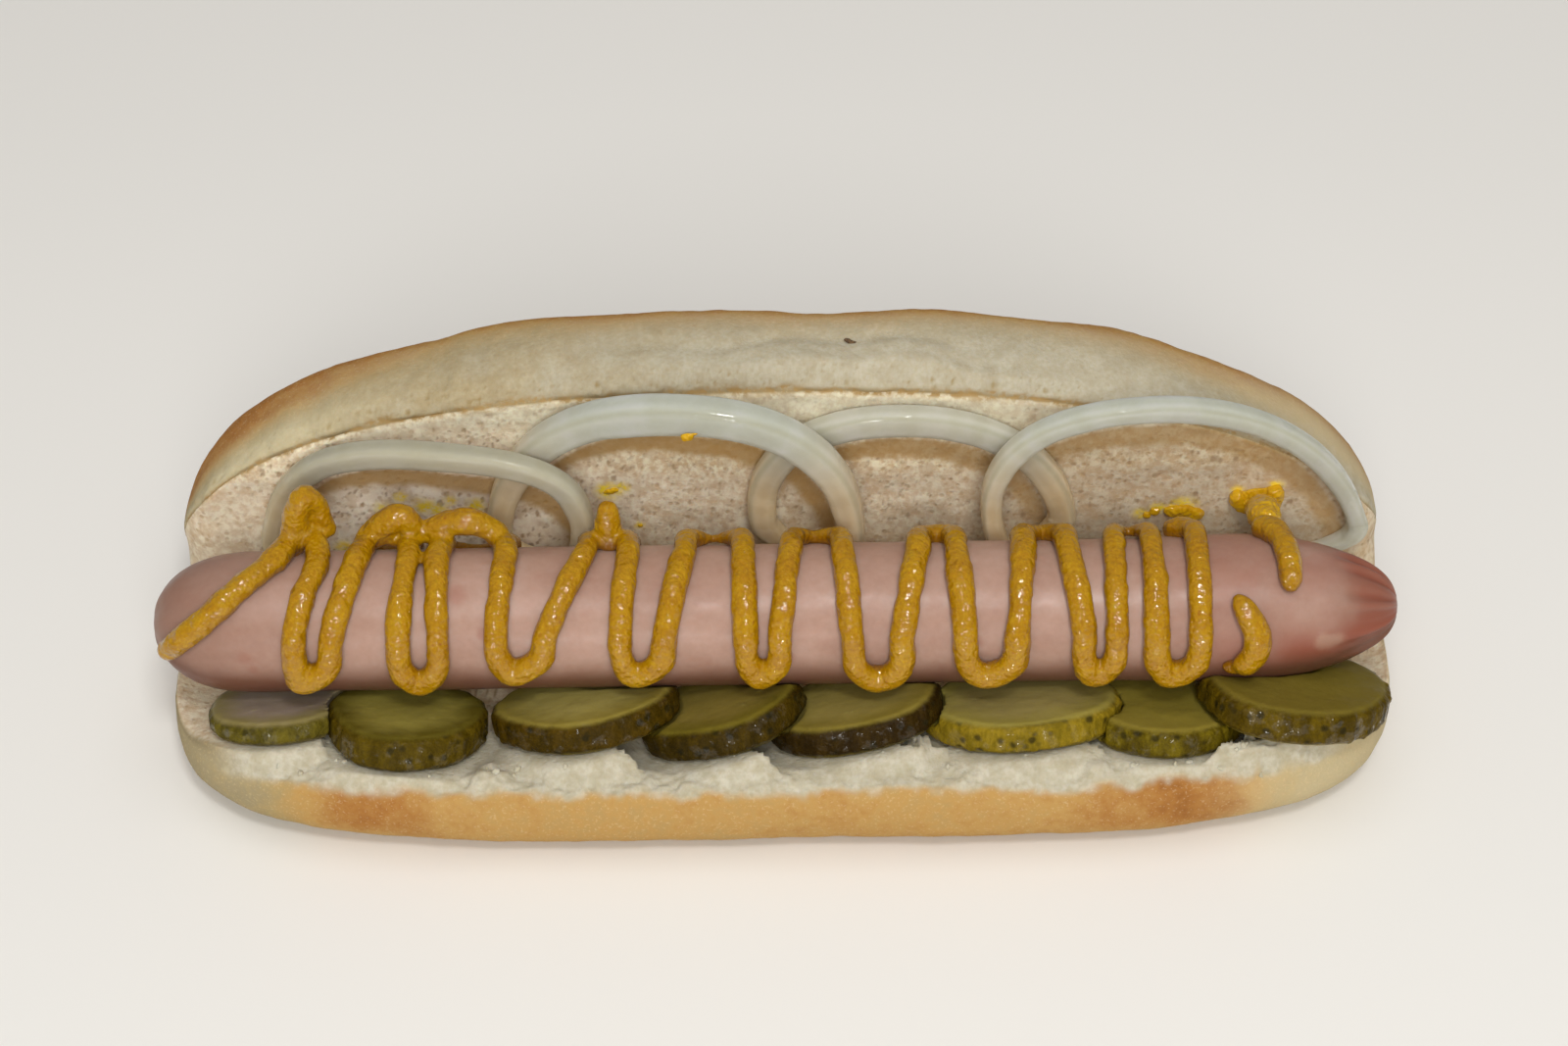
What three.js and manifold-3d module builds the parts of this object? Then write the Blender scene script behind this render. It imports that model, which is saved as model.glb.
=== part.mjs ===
// A hot dog: an opened bun that lies on its lower half, a sausage with a zigzag of mustard,
// eight pickle slices along the front and four onion rings against the upper half.
// Units are millimetres, +Z is up, +X runs along the sausage and -Y is the open front.
// The origin is the middle of the underside of the whole.
import * as THREE from 'three';
import { mergeVertices } from 'three/addons/utils/BufferGeometryUtils.js';
import Module from 'manifold-3d';

// Driving dimensions
const GAP = 0.35;                     // clearance kept between neighbouring pieces
const MIDDLE_X = 1.2;                 // shift along X that centres the whole over the origin
const AXIS_Y = -8.2;                  // sausage axis, from the middle of the whole
const AXIS_Z = 29;                    // sausage axis above the underside

const BUN_HALF_LENGTH = 100.1;
const BUN_CENTRE_X = -1.1;
const END_SWEEP = 81;                 // degrees of the sine that spaces the sections
const BUN_STATIONS = 26;              // sections along the bun
const BUN_POINTS = 46;                // points round a section
const HINGE = { y: 25.4, z: -12 };    // inside corner of the opened bun, from the sausage axis
const LEAN = 10;                      // degrees the upper half leans forward of upright
const CAP_DEPTH = 45.2;               // upper half, from the hinge to its edge
const CAP_THICKNESS = 23;
const BASE_DEPTH = 53;                // lower half, from the hinge to its front
const BASE_TOP = -14;                 // crumb edge of the lower half
const BASE_WAIST = -20;               // height that the lower half narrows to at its ends
const CAP_ROUNDNESS = { left: 2.45, right: 2.2 };   // superellipse powers of the plan outlines
const BASE_ROUNDNESS = 4.6;
const BULK_ROUNDNESS = 3.6;
const END_ROUNDING = 7;               // length over which the crumb face turns in at an end

const SAUSAGE_LENGTH = 199.4;
const SAUSAGE_CENTRE_X = -1.8;
const SAUSAGE_RADIUS = 11.3;
const BULGE = { x: 75, size: 0.45, spread: 17 };   // the skin swells a little towards the right end
const SAUSAGE_STATIONS = 30;
const SAUSAGE_SIDES = 20;
const BLUNT_END = 17;                 // length of the rounded left end
const LONG_END = 27;                  // length of the tapered right end
const PUCKER = { folds: 8, depth: 0.13, length: 9 };   // at the tip of the right end

const MUSTARD_RADIUS = 1.95;
const MUSTARD_SIDES = 6;
const MUSTARD_STEP = 3.2;
const MUSTARD_LIFT = 1.5;             // bead centre above the sausage skin
const BACK_TURN = -31;                // degrees round the sausage from its top, front is positive

const WALL_GAP = 0.6;                 // onion rings stand this far off the crumb
const RING_SEGMENTS = 26;
const PICKLE_SIDES = 22;
const PICKLE_TILT = 17;               // degrees the pickle slices slope down to the back

const wasm = await Module();
wasm.setup();

const radians = THREE.MathUtils.degToRad;
const superellipse = (ratio, power) => (1 - Math.min(Math.abs(ratio), 1) ** power) ** (1 / power);

// Every vertex of a geometry is moved by a function of its place.
function warp(geometry, move) {
  const position = geometry.attributes.position;
  const point = new THREE.Vector3();
  for (let i = 0; i < position.count; i++) {
    move(point.fromBufferAttribute(position, i));
    position.setXYZ(i, point.x, point.y, point.z);
  }
  return geometry;
}

// Booleans
function toSolid(geometry) {
  const bare = geometry.clone();
  bare.deleteAttribute('normal');
  bare.deleteAttribute('uv');
  const merged = mergeVertices(bare, 1e-4);
  const vertProperties = new Float32Array(merged.attributes.position.array);
  const corners = merged.index.array;
  const whole = [];
  for (let i = 0; i < corners.length; i += 3) {
    const [a, b, c] = corners.slice(i, i + 3);
    if (a !== b && b !== c && c !== a) whole.push(a, b, c);
  }
  const triVerts = new Uint32Array(whole);
  return new wasm.Manifold(new wasm.Mesh({ numProp: 3, vertProperties, triVerts }));
}

// The outer skin alone: hollows that a join seals are filled and loose scraps dropped.
function outerSkin(solid) {
  return solid.decompose().reduce((best, shell) => (shell.volume() > best.volume() ? shell : best));
}

function toGeometry(solid) {
  const mesh = outerSkin(solid).getMesh();
  const geometry = new THREE.BufferGeometry();
  geometry.setAttribute('position', new THREE.BufferAttribute(new Float32Array(mesh.vertProperties), 3));
  geometry.setIndex(new THREE.BufferAttribute(new Uint32Array(mesh.triVerts), 1));
  geometry.computeVertexNormals();
  return geometry;
}

// Sections of equal point count are joined into a closed skin, with a flat cap at both ends.
function loft(sections, capOutline) {
  const count = sections[0].length;
  const vertices = sections.flat().flatMap((point) => [point.x, point.y, point.z]);
  const faces = [];
  for (let row = 0; row < sections.length - 1; row++) {
    for (let i = 0; i < count; i++) {
      const a = row * count + i;
      const b = row * count + (i + 1) % count;
      faces.push(a, b + count, b, a, a + count, b + count);
    }
  }
  const last = (sections.length - 1) * count;
  for (const [a, b, c] of THREE.ShapeUtils.triangulateShape(capOutline(sections[0]), [])) {
    faces.push(c, b, a);
  }
  for (const [a, b, c] of THREE.ShapeUtils.triangulateShape(capOutline(sections.at(-1)), [])) {
    faces.push(last + a, last + b, last + c);
  }
  const geometry = new THREE.BufferGeometry();
  geometry.setAttribute('position', new THREE.Float32BufferAttribute(vertices, 3));
  geometry.setIndex(faces);
  geometry.computeVertexNormals();
  return geometry;
}

// Bun: one C-shaped section, its outline made of facing pairs of an inner and an outer point.
// Low waves over the length keep the crust and the crumb edges as uneven as bread is.
function breadWave(x, phase) {
  return 0.5 * Math.sin(x * 0.083 + phase) + 0.35 * Math.sin(x * 0.19 + 2.3 * phase);
}

function bunSection(x) {
  const ratio = x / BUN_HALF_LENGTH;
  const capReach = superellipse(ratio, x < 0 ? CAP_ROUNDNESS.left : CAP_ROUNDNESS.right);
  const baseReach = superellipse(ratio, BASE_ROUNDNESS);
  const bulk = superellipse(ratio, BULK_ROUNDNESS);
  const inEnd = Math.max(0, (Math.abs(x) - BUN_HALF_LENGTH + END_ROUNDING) / END_ROUNDING);
  const turnIn = 0.3 * CAP_THICKNESS * (1 - Math.sqrt(1 - inEnd ** 2));
  const lean = radians(90 + LEAN);

  const cap = (s, n) => {
    const up = s * capReach;
    const back = turnIn + n * (bulk - turnIn / CAP_THICKNESS);
    return [HINGE.y + up * Math.cos(lean) + back * Math.sin(lean),
      HINGE.z + up * Math.sin(lean) - back * Math.cos(lean)];
  };
  const base = (p, z) => [HINGE.y - p * baseReach, BASE_WAIST + (z - BASE_WAIST) * bulk];
  const edge = breadWave(x, 1.1);
  const side = breadWave(x, 4.2);
  const floor = -AXIS_Z - 0.4;
  const outline = [
    base(BASE_DEPTH, BASE_TOP - 4),
    base(BASE_DEPTH - 1.4, BASE_TOP + 0.5 * edge),
    base(BASE_DEPTH - 5, BASE_TOP + 0.6 + 0.6 * edge),
    base(BASE_DEPTH - 17, BASE_TOP - 2.4),
    base(BASE_DEPTH - 30, BASE_TOP - 6.2),
    base(11, BASE_TOP - 5.4),
    base(4.5, BASE_TOP - 2),
    base(1.2, BASE_TOP + 0.9),
    cap(4, 0),
    cap(9, 0),
    cap(17, 0),
    cap(27, 0),
    cap(CAP_DEPTH - 10, 0),
    cap(CAP_DEPTH - 4, 0),
    cap(CAP_DEPTH - 1.4, 0.2),
    cap(CAP_DEPTH + 1.3 + 0.4 * edge, 3.5),
    cap(CAP_DEPTH + 2 + 0.6 * side, 10),
    cap(CAP_DEPTH - 0.8, 17.5 + side),
    cap(CAP_DEPTH - 8.5, CAP_THICKNESS - 1.5 + side),
    cap(25, CAP_THICKNESS + 0.8 * edge),
    cap(12, CAP_THICKNESS - 2 + 0.6 * side),
    cap(3, 15),
    base(-11.5, -15),
    base(-13, -21.5),
    base(-8, -28.4),
    base(4, floor),
    base(20, floor),
    base(BASE_DEPTH - 18, floor),
    base(BASE_DEPTH - 7.5, -28.9),
    base(BASE_DEPTH - 1.2 + 0.4 * side, -24),
  ];
  const curve = new THREE.CatmullRomCurve3(
    outline.map(([y, z]) => new THREE.Vector3(x, y, Math.max(z, floor))), true, 'centripetal');
  const points = [];
  for (let i = 0; i < BUN_POINTS; i++) {
    const point = curve.getPoint(i / BUN_POINTS);
    points.push(new THREE.Vector3(x + BUN_CENTRE_X, point.y + AXIS_Y, Math.max(point.z + AXIS_Z, 0)));
  }
  return points;
}

function makeBun() {
  const sections = [];
  for (let i = 0; i < BUN_STATIONS; i++) {
    const sweep = radians(END_SWEEP * ((2 * i) / (BUN_STATIONS - 1) - 1));
    sections.push(bunSection(BUN_HALF_LENGTH * Math.sin(sweep)));
  }
  return loft(sections, (section) => section.map((point) => new THREE.Vector2(point.y, point.z)));
}

// Sausage: turned about its axis, blunt on the left, tapered and puckered on the right.
function sausageRadius(x) {
  const fromLeft = (x + SAUSAGE_LENGTH / 2) / BLUNT_END;
  const fromRight = (SAUSAGE_LENGTH / 2 - x) / LONG_END;
  const left = superellipse(1 - Math.min(fromLeft, 1), 2.3);
  const right = superellipse(1 - Math.min(fromRight, 1), 2.15);
  const bulge = BULGE.size * Math.exp(-(((x - BULGE.x) / BULGE.spread) ** 2));
  return (SAUSAGE_RADIUS + bulge) * left * right;
}

function makeSausage(grow = 0) {
  const profile = [];
  for (let i = 0; i <= SAUSAGE_STATIONS; i++) {
    const x = (-Math.cos((Math.PI * i) / SAUSAGE_STATIONS) * SAUSAGE_LENGTH) / 2;
    const radius = i === 0 || i === SAUSAGE_STATIONS ? 0 : sausageRadius(x) + grow;
    profile.push(new THREE.Vector2(radius, x));
  }
  const body = new THREE.LatheGeometry(profile, SAUSAGE_SIDES);
  return warp(body, (point) => {
    const along = point.y;
    const tip = Math.max(0, 1 - (SAUSAGE_LENGTH / 2 - along) / PUCKER.length);
    const turn = Math.atan2(point.z, point.x);
    const pucker = 1 + PUCKER.depth * tip * Math.cos(PUCKER.folds * turn);
    point.set(along + SAUSAGE_CENTRE_X, -point.x * pucker + AXIS_Y, point.z * pucker + AXIS_Z);
  });
}

// Mustard: one bead that runs back and forth over the sausage, and two short strokes.
// Each row is one loop: x of the way down at the top and low on the front, x of the front
// turn, x of the way up low and at the top, x of the back turn, that turn's lift, and how
// far round the sausage the front turn reaches (degrees).
const ZIGZAG = [
  [-74.0, -77.5, -76.8, -71.6, -67.6, -62.6, 3.8, 97],
  [-59.7, -61.0, -58.2, -54.8, -55.0, -49.7, 3.6, 101],
  [-44.2, -45.6, -43.4, -37.8, -31.6, -28.3, 4.5, 91],
  [-24.8, -26.0, -24.0, -19.0, -15.8, -11.5, 1.8, 96],
  [-6.6, -6.2, -4.2, -0.8, 1.0, 4.6, 1.4, 99],
  [9.2, 10.6, 14.8, 18.5, 21.2, 24.2, 1.3, 104],
  [27.2, 28.3, 31.5, 36.6, 37.9, 41.2, 1.2, 101],
  [44.8, 47.0, 49.0, 52.1, 52.2, 54.9, 1.2, 102],
  [58.1, 58.4, 60.9, 65.2, 65.2, 62.9, 2.3, 102],
];
const FIRST_PEAK = { x: -76.6, lift: 8.3 };
const CREST = -4;                     // degrees round the sausage where a strand comes over the top,
const SHOULDER = 30;                  // runs straight,
const LOW = 64;                       // starts to turn,
const TURN_IN = 12;                   // and is this short of its front turn
const SHORT_STROKES = [
  [[70.6, 40], [72.6, 54], [74.2, 70], [73.6, 84], [71.0, 97]],
  [[74.9, -33], [77.8, -22], [78.9, -6], [79.6, 14], [79.4, 38]],
];

function onSausage(x, degrees, lift = MUSTARD_LIFT) {
  const reach = sausageRadius(x - SAUSAGE_CENTRE_X) + lift;
  const turn = radians(degrees);
  return new THREE.Vector3(x, AXIS_Y - reach * Math.sin(turn), AXIS_Z + reach * Math.cos(turn));
}

function zigzagPath() {
  const between = THREE.MathUtils.lerp;
  const points = [
    onSausage(-99.2, 88), onSausage(-95.4, 62), onSausage(-91.4, 47), onSausage(-86.4, 26),
    onSausage(-81.4, 3),
    onSausage(FIRST_PEAK.x, BACK_TURN + 3, FIRST_PEAK.lift),
  ];
  for (const [downTop, downLow, front, upLow, upTop, back, lift, turn] of ZIGZAG) {
    points.push(onSausage(downTop, CREST), onSausage(between(downTop, downLow, 0.5), SHOULDER));
    points.push(onSausage(downLow, LOW), onSausage(between(downLow, front, 0.4), turn - TURN_IN));
    points.push(onSausage(front, turn));
    points.push(onSausage(between(front, upLow, 0.6), turn - TURN_IN), onSausage(upLow, LOW));
    points.push(onSausage(between(upLow, upTop, 0.5), SHOULDER), onSausage(upTop, CREST));
    points.push(onSausage(back, BACK_TURN, lift));
  }
  return points;
}

function makeBead(points) {
  const path = new THREE.CatmullRomCurve3(points, false, 'centripetal');
  const section = new THREE.Shape();
  for (let i = 0; i < MUSTARD_SIDES; i++) {
    const turn = (2 * Math.PI * i) / MUSTARD_SIDES;
    const place = [MUSTARD_RADIUS * Math.cos(turn), MUSTARD_RADIUS * Math.sin(turn)];
    if (i === 0) section.moveTo(...place);
    else section.lineTo(...place);
  }
  section.closePath();
  const steps = Math.round(path.getLength() / MUSTARD_STEP);
  return new THREE.ExtrudeGeometry(section, { steps, extrudePath: path, bevelEnabled: false });
}

function makeDressedSausage() {
  let solid = toSolid(makeSausage()).add(toSolid(makeBead(zigzagPath())));
  for (const stroke of SHORT_STROKES) {
    solid = solid.add(toSolid(makeBead(stroke.map(([x, turn]) => onSausage(x, turn)))));
  }
  return solid;
}

// Pickle slices, left to right: x and y of the middle, half width, half depth, thickness,
// height of the upper face at the middle, and roll (degrees, right side up).
const PICKLES = [
  { x: -81.4, y: -7.3, width: 12.6, depth: 9.5, thick: 4.0, top: -10.4, roll: 3 },
  { x: -61.0, y: -10.4, width: 12.8, depth: 11.8, thick: 6.2, top: -9.6, roll: -4 },
  { x: -32.5, y: -8.6, width: 15.2, depth: 11.2, thick: 5.6, top: -8.8, roll: 8 },
  { x: -11.0, y: -9.4, width: 13.6, depth: 11.4, thick: 5.6, top: -9.5, roll: 15 },
  { x: 10.5, y: -9.4, width: 14.4, depth: 11.2, thick: 5.4, top: -9.6, roll: 11 },
  { x: 37.5, y: -9.2, width: 15.8, depth: 11.8, thick: 5.4, top: -9.7, roll: 3 },
  { x: 60.5, y: -10.4, width: 12.6, depth: 11.4, thick: 5.2, top: -10.6, roll: -2 },
  { x: 81.0, y: -9.4, width: 15.6, depth: 13.6, thick: 6.0, top: -6.7, roll: -7 },
];

function makePickle(slice, index, grow = 0) {
  const half = slice.thick / 2 + grow;
  const round = 1.1;
  const profile = [[0, -half], [1 - round / 12, -half], [1, round - half], [1, half - round],
    [1 - round / 12, half], [0, half]].map(([r, z]) => new THREE.Vector2(r, z));
  const disc = new THREE.LatheGeometry(profile, PICKLE_SIDES);
  warp(disc, (point) => {
    const turn = Math.atan2(point.z, point.x);
    const lobes = 1 + 0.025 * Math.cos(3 * turn + index) + 0.015 * Math.cos(5 * turn + 2 * index);
    point.set(point.x * (slice.width + grow) * lobes, -point.z * (slice.depth + grow) * lobes,
      point.y - slice.thick / 2);
  });
  disc.rotateY(radians(-slice.roll));
  disc.rotateX(radians(-PICKLE_TILT));
  return disc.translate(slice.x, AXIS_Y + slice.y, AXIS_Z + slice.top);
}

// A slice gives way to the sausage and to the slices that lie over it.
const LIES_OVER = { 0: [1], 3: [2], 4: [3], 5: [4], 6: [5, 7] };

function fitPickle(index) {
  let solid = toSolid(makePickle(PICKLES[index], index)).subtract(toSolid(makeSausage(GAP)));
  for (const upper of LIES_OVER[index] ?? []) {
    solid = solid.subtract(toSolid(makePickle(PICKLES[upper], upper, GAP)));
  }
  return solid;
}

// Onion rings against the wall of the upper half: x and height up the wall of the widest
// place, half width, rise above it and drop below it, how far the top leans to the right,
// superellipse power, radial thickness, slice height, how much higher the slice is at its
// top, and yaw (degrees, right side forward).
const ONIONS = [
  { x: -59.0, up: 14.8, half: 27.1, rise: 24.7, drop: 11.5, skew: 5.6, power: 2.75,
    wall: 3.3, high: 3.1, wedge: 0.5, yaw: 8 },
  { x: -18.2, up: 13.4, half: 31.0, rise: 35.5, drop: 10.0, skew: 3.0, power: 2.35,
    wall: 4.2, high: 3.9, wedge: 1.0, yaw: 5.4 },
  { x: 20.8, up: 15.7, half: 26.7, rise: 26.2, drop: 12.5, skew: -2.5, power: 2.15,
    wall: 4.4, high: 3.4, wedge: 0.3, yaw: 0 },
  { x: 64.2, up: 13.6, half: 31.0, rise: 33.1, drop: 10.5, skew: -8.9, power: 2.25,
    wall: 3.2, high: 3.3, wedge: 0.4, yaw: -5.2 },
];

function makeOnion(ring) {
  const bevel = 0.7;
  const inner = -ring.wall;
  const profile = [[inner + bevel, 0], [-bevel, 0], [0, bevel], [0, ring.high - bevel],
    [-bevel, ring.high], [inner + bevel, ring.high], [inner, ring.high - bevel], [inner, bevel],
    [inner + bevel, 0]].map(([r, z]) => new THREE.Vector2(ring.half + r, z));
  const band = new THREE.LatheGeometry(profile, RING_SEGMENTS);
  return warp(band, (point) => {
    const turn = Math.atan2(-point.z, point.x);
    const inset = ring.half - Math.hypot(point.x, point.z);
    const across = Math.sign(point.x) * Math.abs(Math.cos(turn)) ** (2 / ring.power);
    const up = Math.sign(turn) * Math.abs(Math.sin(turn)) ** (2 / ring.power);
    const edge = new THREE.Vector2(
      ring.half * across + ring.skew * up, (turn > 0 ? ring.rise : ring.drop) * up);
    edge.multiplyScalar(1 - inset / edge.length());
    const height = point.y * (1 + (ring.wedge / ring.high) * Math.sin(turn));
    point.set(edge.x, edge.y, height);
  });
}

// The hot dog
const looks = (color, roughness) => new THREE.MeshStandardMaterial({ color, roughness, metalness: 0 });
const bread = looks('#d9bd8c', 0.85);
const skin = looks('#c08a7c', 0.35);
const brine = looks('#76681f', 0.3);
const onionFlesh = looks('#d7dac0', 0.25);

function addPiece(parent, name, geometry, material) {
  const mesh = new THREE.Mesh(geometry, material);
  mesh.name = name;
  parent.add(mesh);
  return mesh;
}

const hotDog = new THREE.Group();
hotDog.position.x = MIDDLE_X;

let bun = toSolid(makeBun());
for (const [index, slice] of PICKLES.entries()) {
  bun = bun.subtract(toSolid(makePickle(slice, index, GAP)));
}
addPiece(hotDog, 'bun', toGeometry(bun), bread);
addPiece(hotDog, 'sausage', toGeometry(makeDressedSausage()), skin);

for (const index of PICKLES.keys()) {
  addPiece(hotDog, `pickle_slice_${index + 1}`, toGeometry(fitPickle(index)), brine);
}

const wall = new THREE.Group();
wall.position.set(0, AXIS_Y + HINGE.y, AXIS_Z + HINGE.z);
wall.rotation.x = radians(90 + LEAN);
hotDog.add(wall);
for (const [index, ring] of ONIONS.entries()) {
  const mesh = addPiece(wall, `onion_ring_${index + 1}`, makeOnion(ring), onionFlesh);
  const swing = ring.half * Math.abs(Math.sin(radians(ring.yaw)));
  mesh.position.set(ring.x, ring.up, WALL_GAP + swing);
  mesh.rotation.y = radians(-ring.yaw);
}

export default hotDog;
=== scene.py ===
"""A hot dog: bun, sausage with mustard, pickle slices and onion rings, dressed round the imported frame.

Shapes are worked out in millimetres, as the part's source is, and a mesh turns them into metres.
"""
import math
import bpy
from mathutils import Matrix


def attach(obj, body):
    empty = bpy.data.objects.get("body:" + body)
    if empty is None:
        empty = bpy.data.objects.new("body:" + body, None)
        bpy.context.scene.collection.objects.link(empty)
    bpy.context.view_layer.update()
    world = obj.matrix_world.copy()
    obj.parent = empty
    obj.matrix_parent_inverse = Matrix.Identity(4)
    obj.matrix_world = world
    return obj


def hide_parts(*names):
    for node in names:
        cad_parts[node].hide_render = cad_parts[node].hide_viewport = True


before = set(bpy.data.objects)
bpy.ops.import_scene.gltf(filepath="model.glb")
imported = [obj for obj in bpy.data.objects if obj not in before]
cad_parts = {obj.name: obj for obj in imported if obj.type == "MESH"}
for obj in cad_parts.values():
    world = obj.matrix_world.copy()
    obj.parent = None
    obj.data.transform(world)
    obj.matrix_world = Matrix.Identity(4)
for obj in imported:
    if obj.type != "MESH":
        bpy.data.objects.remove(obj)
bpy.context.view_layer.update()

from types import SimpleNamespace

import bpy
import numpy as np
from mathutils import Matrix, Vector

MM = 0.001

# Places and sizes that the part's source names
MIDDLE_X = 1.2
AXIS_Y = -8.2
AXIS_Z = 29.0
BUN_HALF_LENGTH = 100.1
BUN_CENTRE_X = -1.1
HINGE_Y, HINGE_Z = 25.4, -12.0
LEAN = math.radians(100)
CAP_DEPTH = 45.2
CAP_THICKNESS = 23.0
BASE_DEPTH = 53.0
BASE_TOP = -14.0
BASE_WAIST = -20.0
CAP_ROUNDNESS_LEFT, CAP_ROUNDNESS_RIGHT = 2.45, 2.2
BASE_ROUNDNESS = 4.6
BULK_ROUNDNESS = 3.6
END_ROUNDING = 7.0
SAUSAGE_LENGTH = 199.4
SAUSAGE_CENTRE_X = -1.8
SAUSAGE_RADIUS = 11.3
BULGE_X, BULGE_SIZE, BULGE_SPREAD = 75.0, 0.45, 17.0
BLUNT_END, LONG_END = 17.0, 27.0
MUSTARD_RADIUS = 1.95
MUSTARD_LIFT = 1.5
BACK_TURN = -31.0
PICKLE_TILT = math.radians(17)
WALL_GAP = 0.6

# One loop of the mustard a row: x of the way down at the top and low on the front, x of the
# front turn, x of the way up low and at the top, x of the back turn, and how many degrees round
# the sausage the front turn reaches
ZIGZAG = [
    (-74.0, -77.5, -76.8, -71.6, -67.6, -62.6, 97),
    (-59.7, -61.0, -58.2, -54.8, -55.0, -49.7, 101),
    (-44.2, -45.6, -43.4, -37.8, -31.6, -28.3, 91),
    (-24.8, -26.0, -24.0, -19.0, -15.8, -11.5, 96),
    (-6.6, -6.2, -4.2, -0.8, 1.0, 4.6, 99),
    (9.2, 10.6, 14.8, 18.5, 21.2, 24.2, 104),
    (27.2, 28.3, 31.5, 36.6, 37.9, 41.2, 101),
    (44.8, 47.0, 49.0, 52.1, 52.2, 54.9, 102),
    (58.1, 58.4, 60.9, 65.2, 65.2, 62.9, 102),
]
FIRST_PEAK_X, FIRST_PEAK_LIFT = -76.6, 8.3
# Degrees round the sausage from its top to the front, and how many short of a turn a loop bends
CREST, SHOULDER, LOW, TURN_IN = -4, 30, 64, 12
SHORT_STROKES = [
    [(70.6, 40), (72.6, 54), (74.2, 70), (73.6, 84), (71.0, 97)],
    [(74.9, -33), (77.8, -22), (78.9, -6), (79.6, 14), (79.4, 38)],
]

# Pickle slices: x, y, half width, half depth, thickness, top, roll
PICKLES = [
    (-81.4, -7.3, 12.6, 9.5, 4.0, -10.4, 3),
    (-61.0, -10.4, 12.8, 11.8, 6.2, -9.6, -4),
    (-32.5, -8.6, 15.2, 11.2, 5.6, -8.8, 8),
    (-11.0, -9.4, 13.6, 11.4, 5.6, -9.5, 15),
    (10.5, -9.4, 14.4, 11.2, 5.4, -9.6, 11),
    (37.5, -9.2, 15.8, 11.8, 5.4, -9.7, 3),
    (60.5, -10.4, 12.6, 11.4, 5.2, -10.6, -2),
    (81.0, -9.4, 15.6, 13.6, 6.0, -6.7, -7),
]

# Onion rings: x, up, half, rise, drop, skew, power, wall, high, wedge, yaw
ONIONS = [
    (-59.0, 14.8, 27.1, 24.7, 11.5, 5.6, 2.75, 3.3, 3.1, 0.5, 8),
    (-18.2, 13.4, 31.0, 35.5, 10.0, 3.0, 2.35, 4.2, 3.9, 1.0, 5.4),
    (20.8, 15.7, 26.7, 26.2, 12.5, -2.5, 2.15, 4.4, 3.4, 0.3, 0),
    (64.2, 13.6, 31.0, 33.1, 10.5, -8.9, 2.25, 3.2, 3.3, 0.4, -5.2),
]
RING_EXTRA = [1.3, 2.1, 0.6, 0.5]       # how much thicker each ring is at its top
RING_WARMTH = [0.3, 0.0, 0.15, 0.0]     # how far each ring's top has turned from white to beige
RING_DULLNESS = [0.75, 0.0, 0.12, 0.1]  # how grey each ring is all round
RING_RIGHT = [1.0, 1.0, 1.0, 0.1]       # how beige the right side of each ring is


# ---- repeatable noise
def lattice_random(cells, seed):
    """A number from 0 to 1 for every cell of a lattice, the same on every run."""
    whole = cells.astype(np.int64).astype(np.uint64)
    mixed = whole[..., 0] * np.uint64(73856093) ^ whole[..., 1] * np.uint64(19349663)
    mixed = mixed ^ whole[..., 2] * np.uint64(83492791) ^ np.uint64(seed * 2654435761)
    for shift, factor in ((33, 0xFF51AFD7ED558CCD), (29, 0xC4CEB9FE1A85EC53), (32, 1)):
        mixed = (mixed ^ (mixed >> np.uint64(shift))) * np.uint64(factor)
    return (mixed >> np.uint64(40)).astype(float) / float(1 << 24)


def smooth_noise(points, size, seed):
    """Soft lumps about size millimetres apart, from -1 to 1."""
    place = points / size
    base = np.floor(place)
    part = place - base
    part = part * part * (3 - 2 * part)
    total = np.zeros(len(points))
    for corner in np.ndindex(2, 2, 2):
        weight = np.prod(np.where(corner, part, 1 - part), axis=1)
        total += weight * lattice_random(base + corner, seed)
    return 2 * total - 1


def layered_noise(points, size, seed):
    """Lumps with finer lumps on them, from about -1 to 1."""
    layers = 3
    total = np.zeros(len(points))
    for layer in range(layers):
        total += smooth_noise(points, size / 2**layer, seed + layer) / 2**layer
    return total / (2 - 2 ** (1 - layers))


def pits(points, size, share, seed, smallest, largest):
    """Round pits, one in a share of the cells of a lattice: 1 at a pit's middle, 0 outside."""
    base = np.floor(points / size)
    depth = np.zeros(len(points))
    for offset in np.ndindex(3, 3, 3):
        cell = base + offset - 1
        jitter = np.stack([lattice_random(cell, seed + axis) for axis in (1, 2, 3)], axis=1)
        centre = (cell + 0.2 + 0.6 * jitter) * size
        radius = size * (smallest + (largest - smallest) * lattice_random(cell, seed + 4) ** 2)
        away = np.linalg.norm(points - centre, axis=1) / radius
        there = lattice_random(cell, seed + 5) < share
        depth = np.maximum(depth, np.where(there, np.clip(1 - away**2, 0, 1), 0))
    return depth


def ease(value, low, high):
    """0 below low, 1 above high and smooth between them."""
    part = np.clip((value - low) / (high - low), 0, 1)
    return part * part * (3 - 2 * part)


def between(value, low, full, fading, gone):
    """1 from full to fading, 0 below low and above gone, and smooth between them."""
    return ease(value, low, full) * (1 - ease(value, fading, gone))


def hill(value, middle, width):
    return np.exp(-(((value - middle) / width) ** 2))


def signed_power(value, power):
    return np.sign(value) * np.abs(value) ** power


def circle(count):
    return np.linspace(0, 2 * math.pi, count, endpoint=False)


def unit(vectors):
    return vectors / np.maximum(np.linalg.norm(vectors, axis=-1, keepdims=True), 1e-9)


def superellipse(ratio, power):
    return (1 - np.minimum(np.abs(ratio), 1) ** power) ** (1 / power)


# ---- meshes
def add_object(name, data):
    item = bpy.data.objects.new(name, data)
    bpy.context.scene.collection.objects.link(item)
    return item


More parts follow.
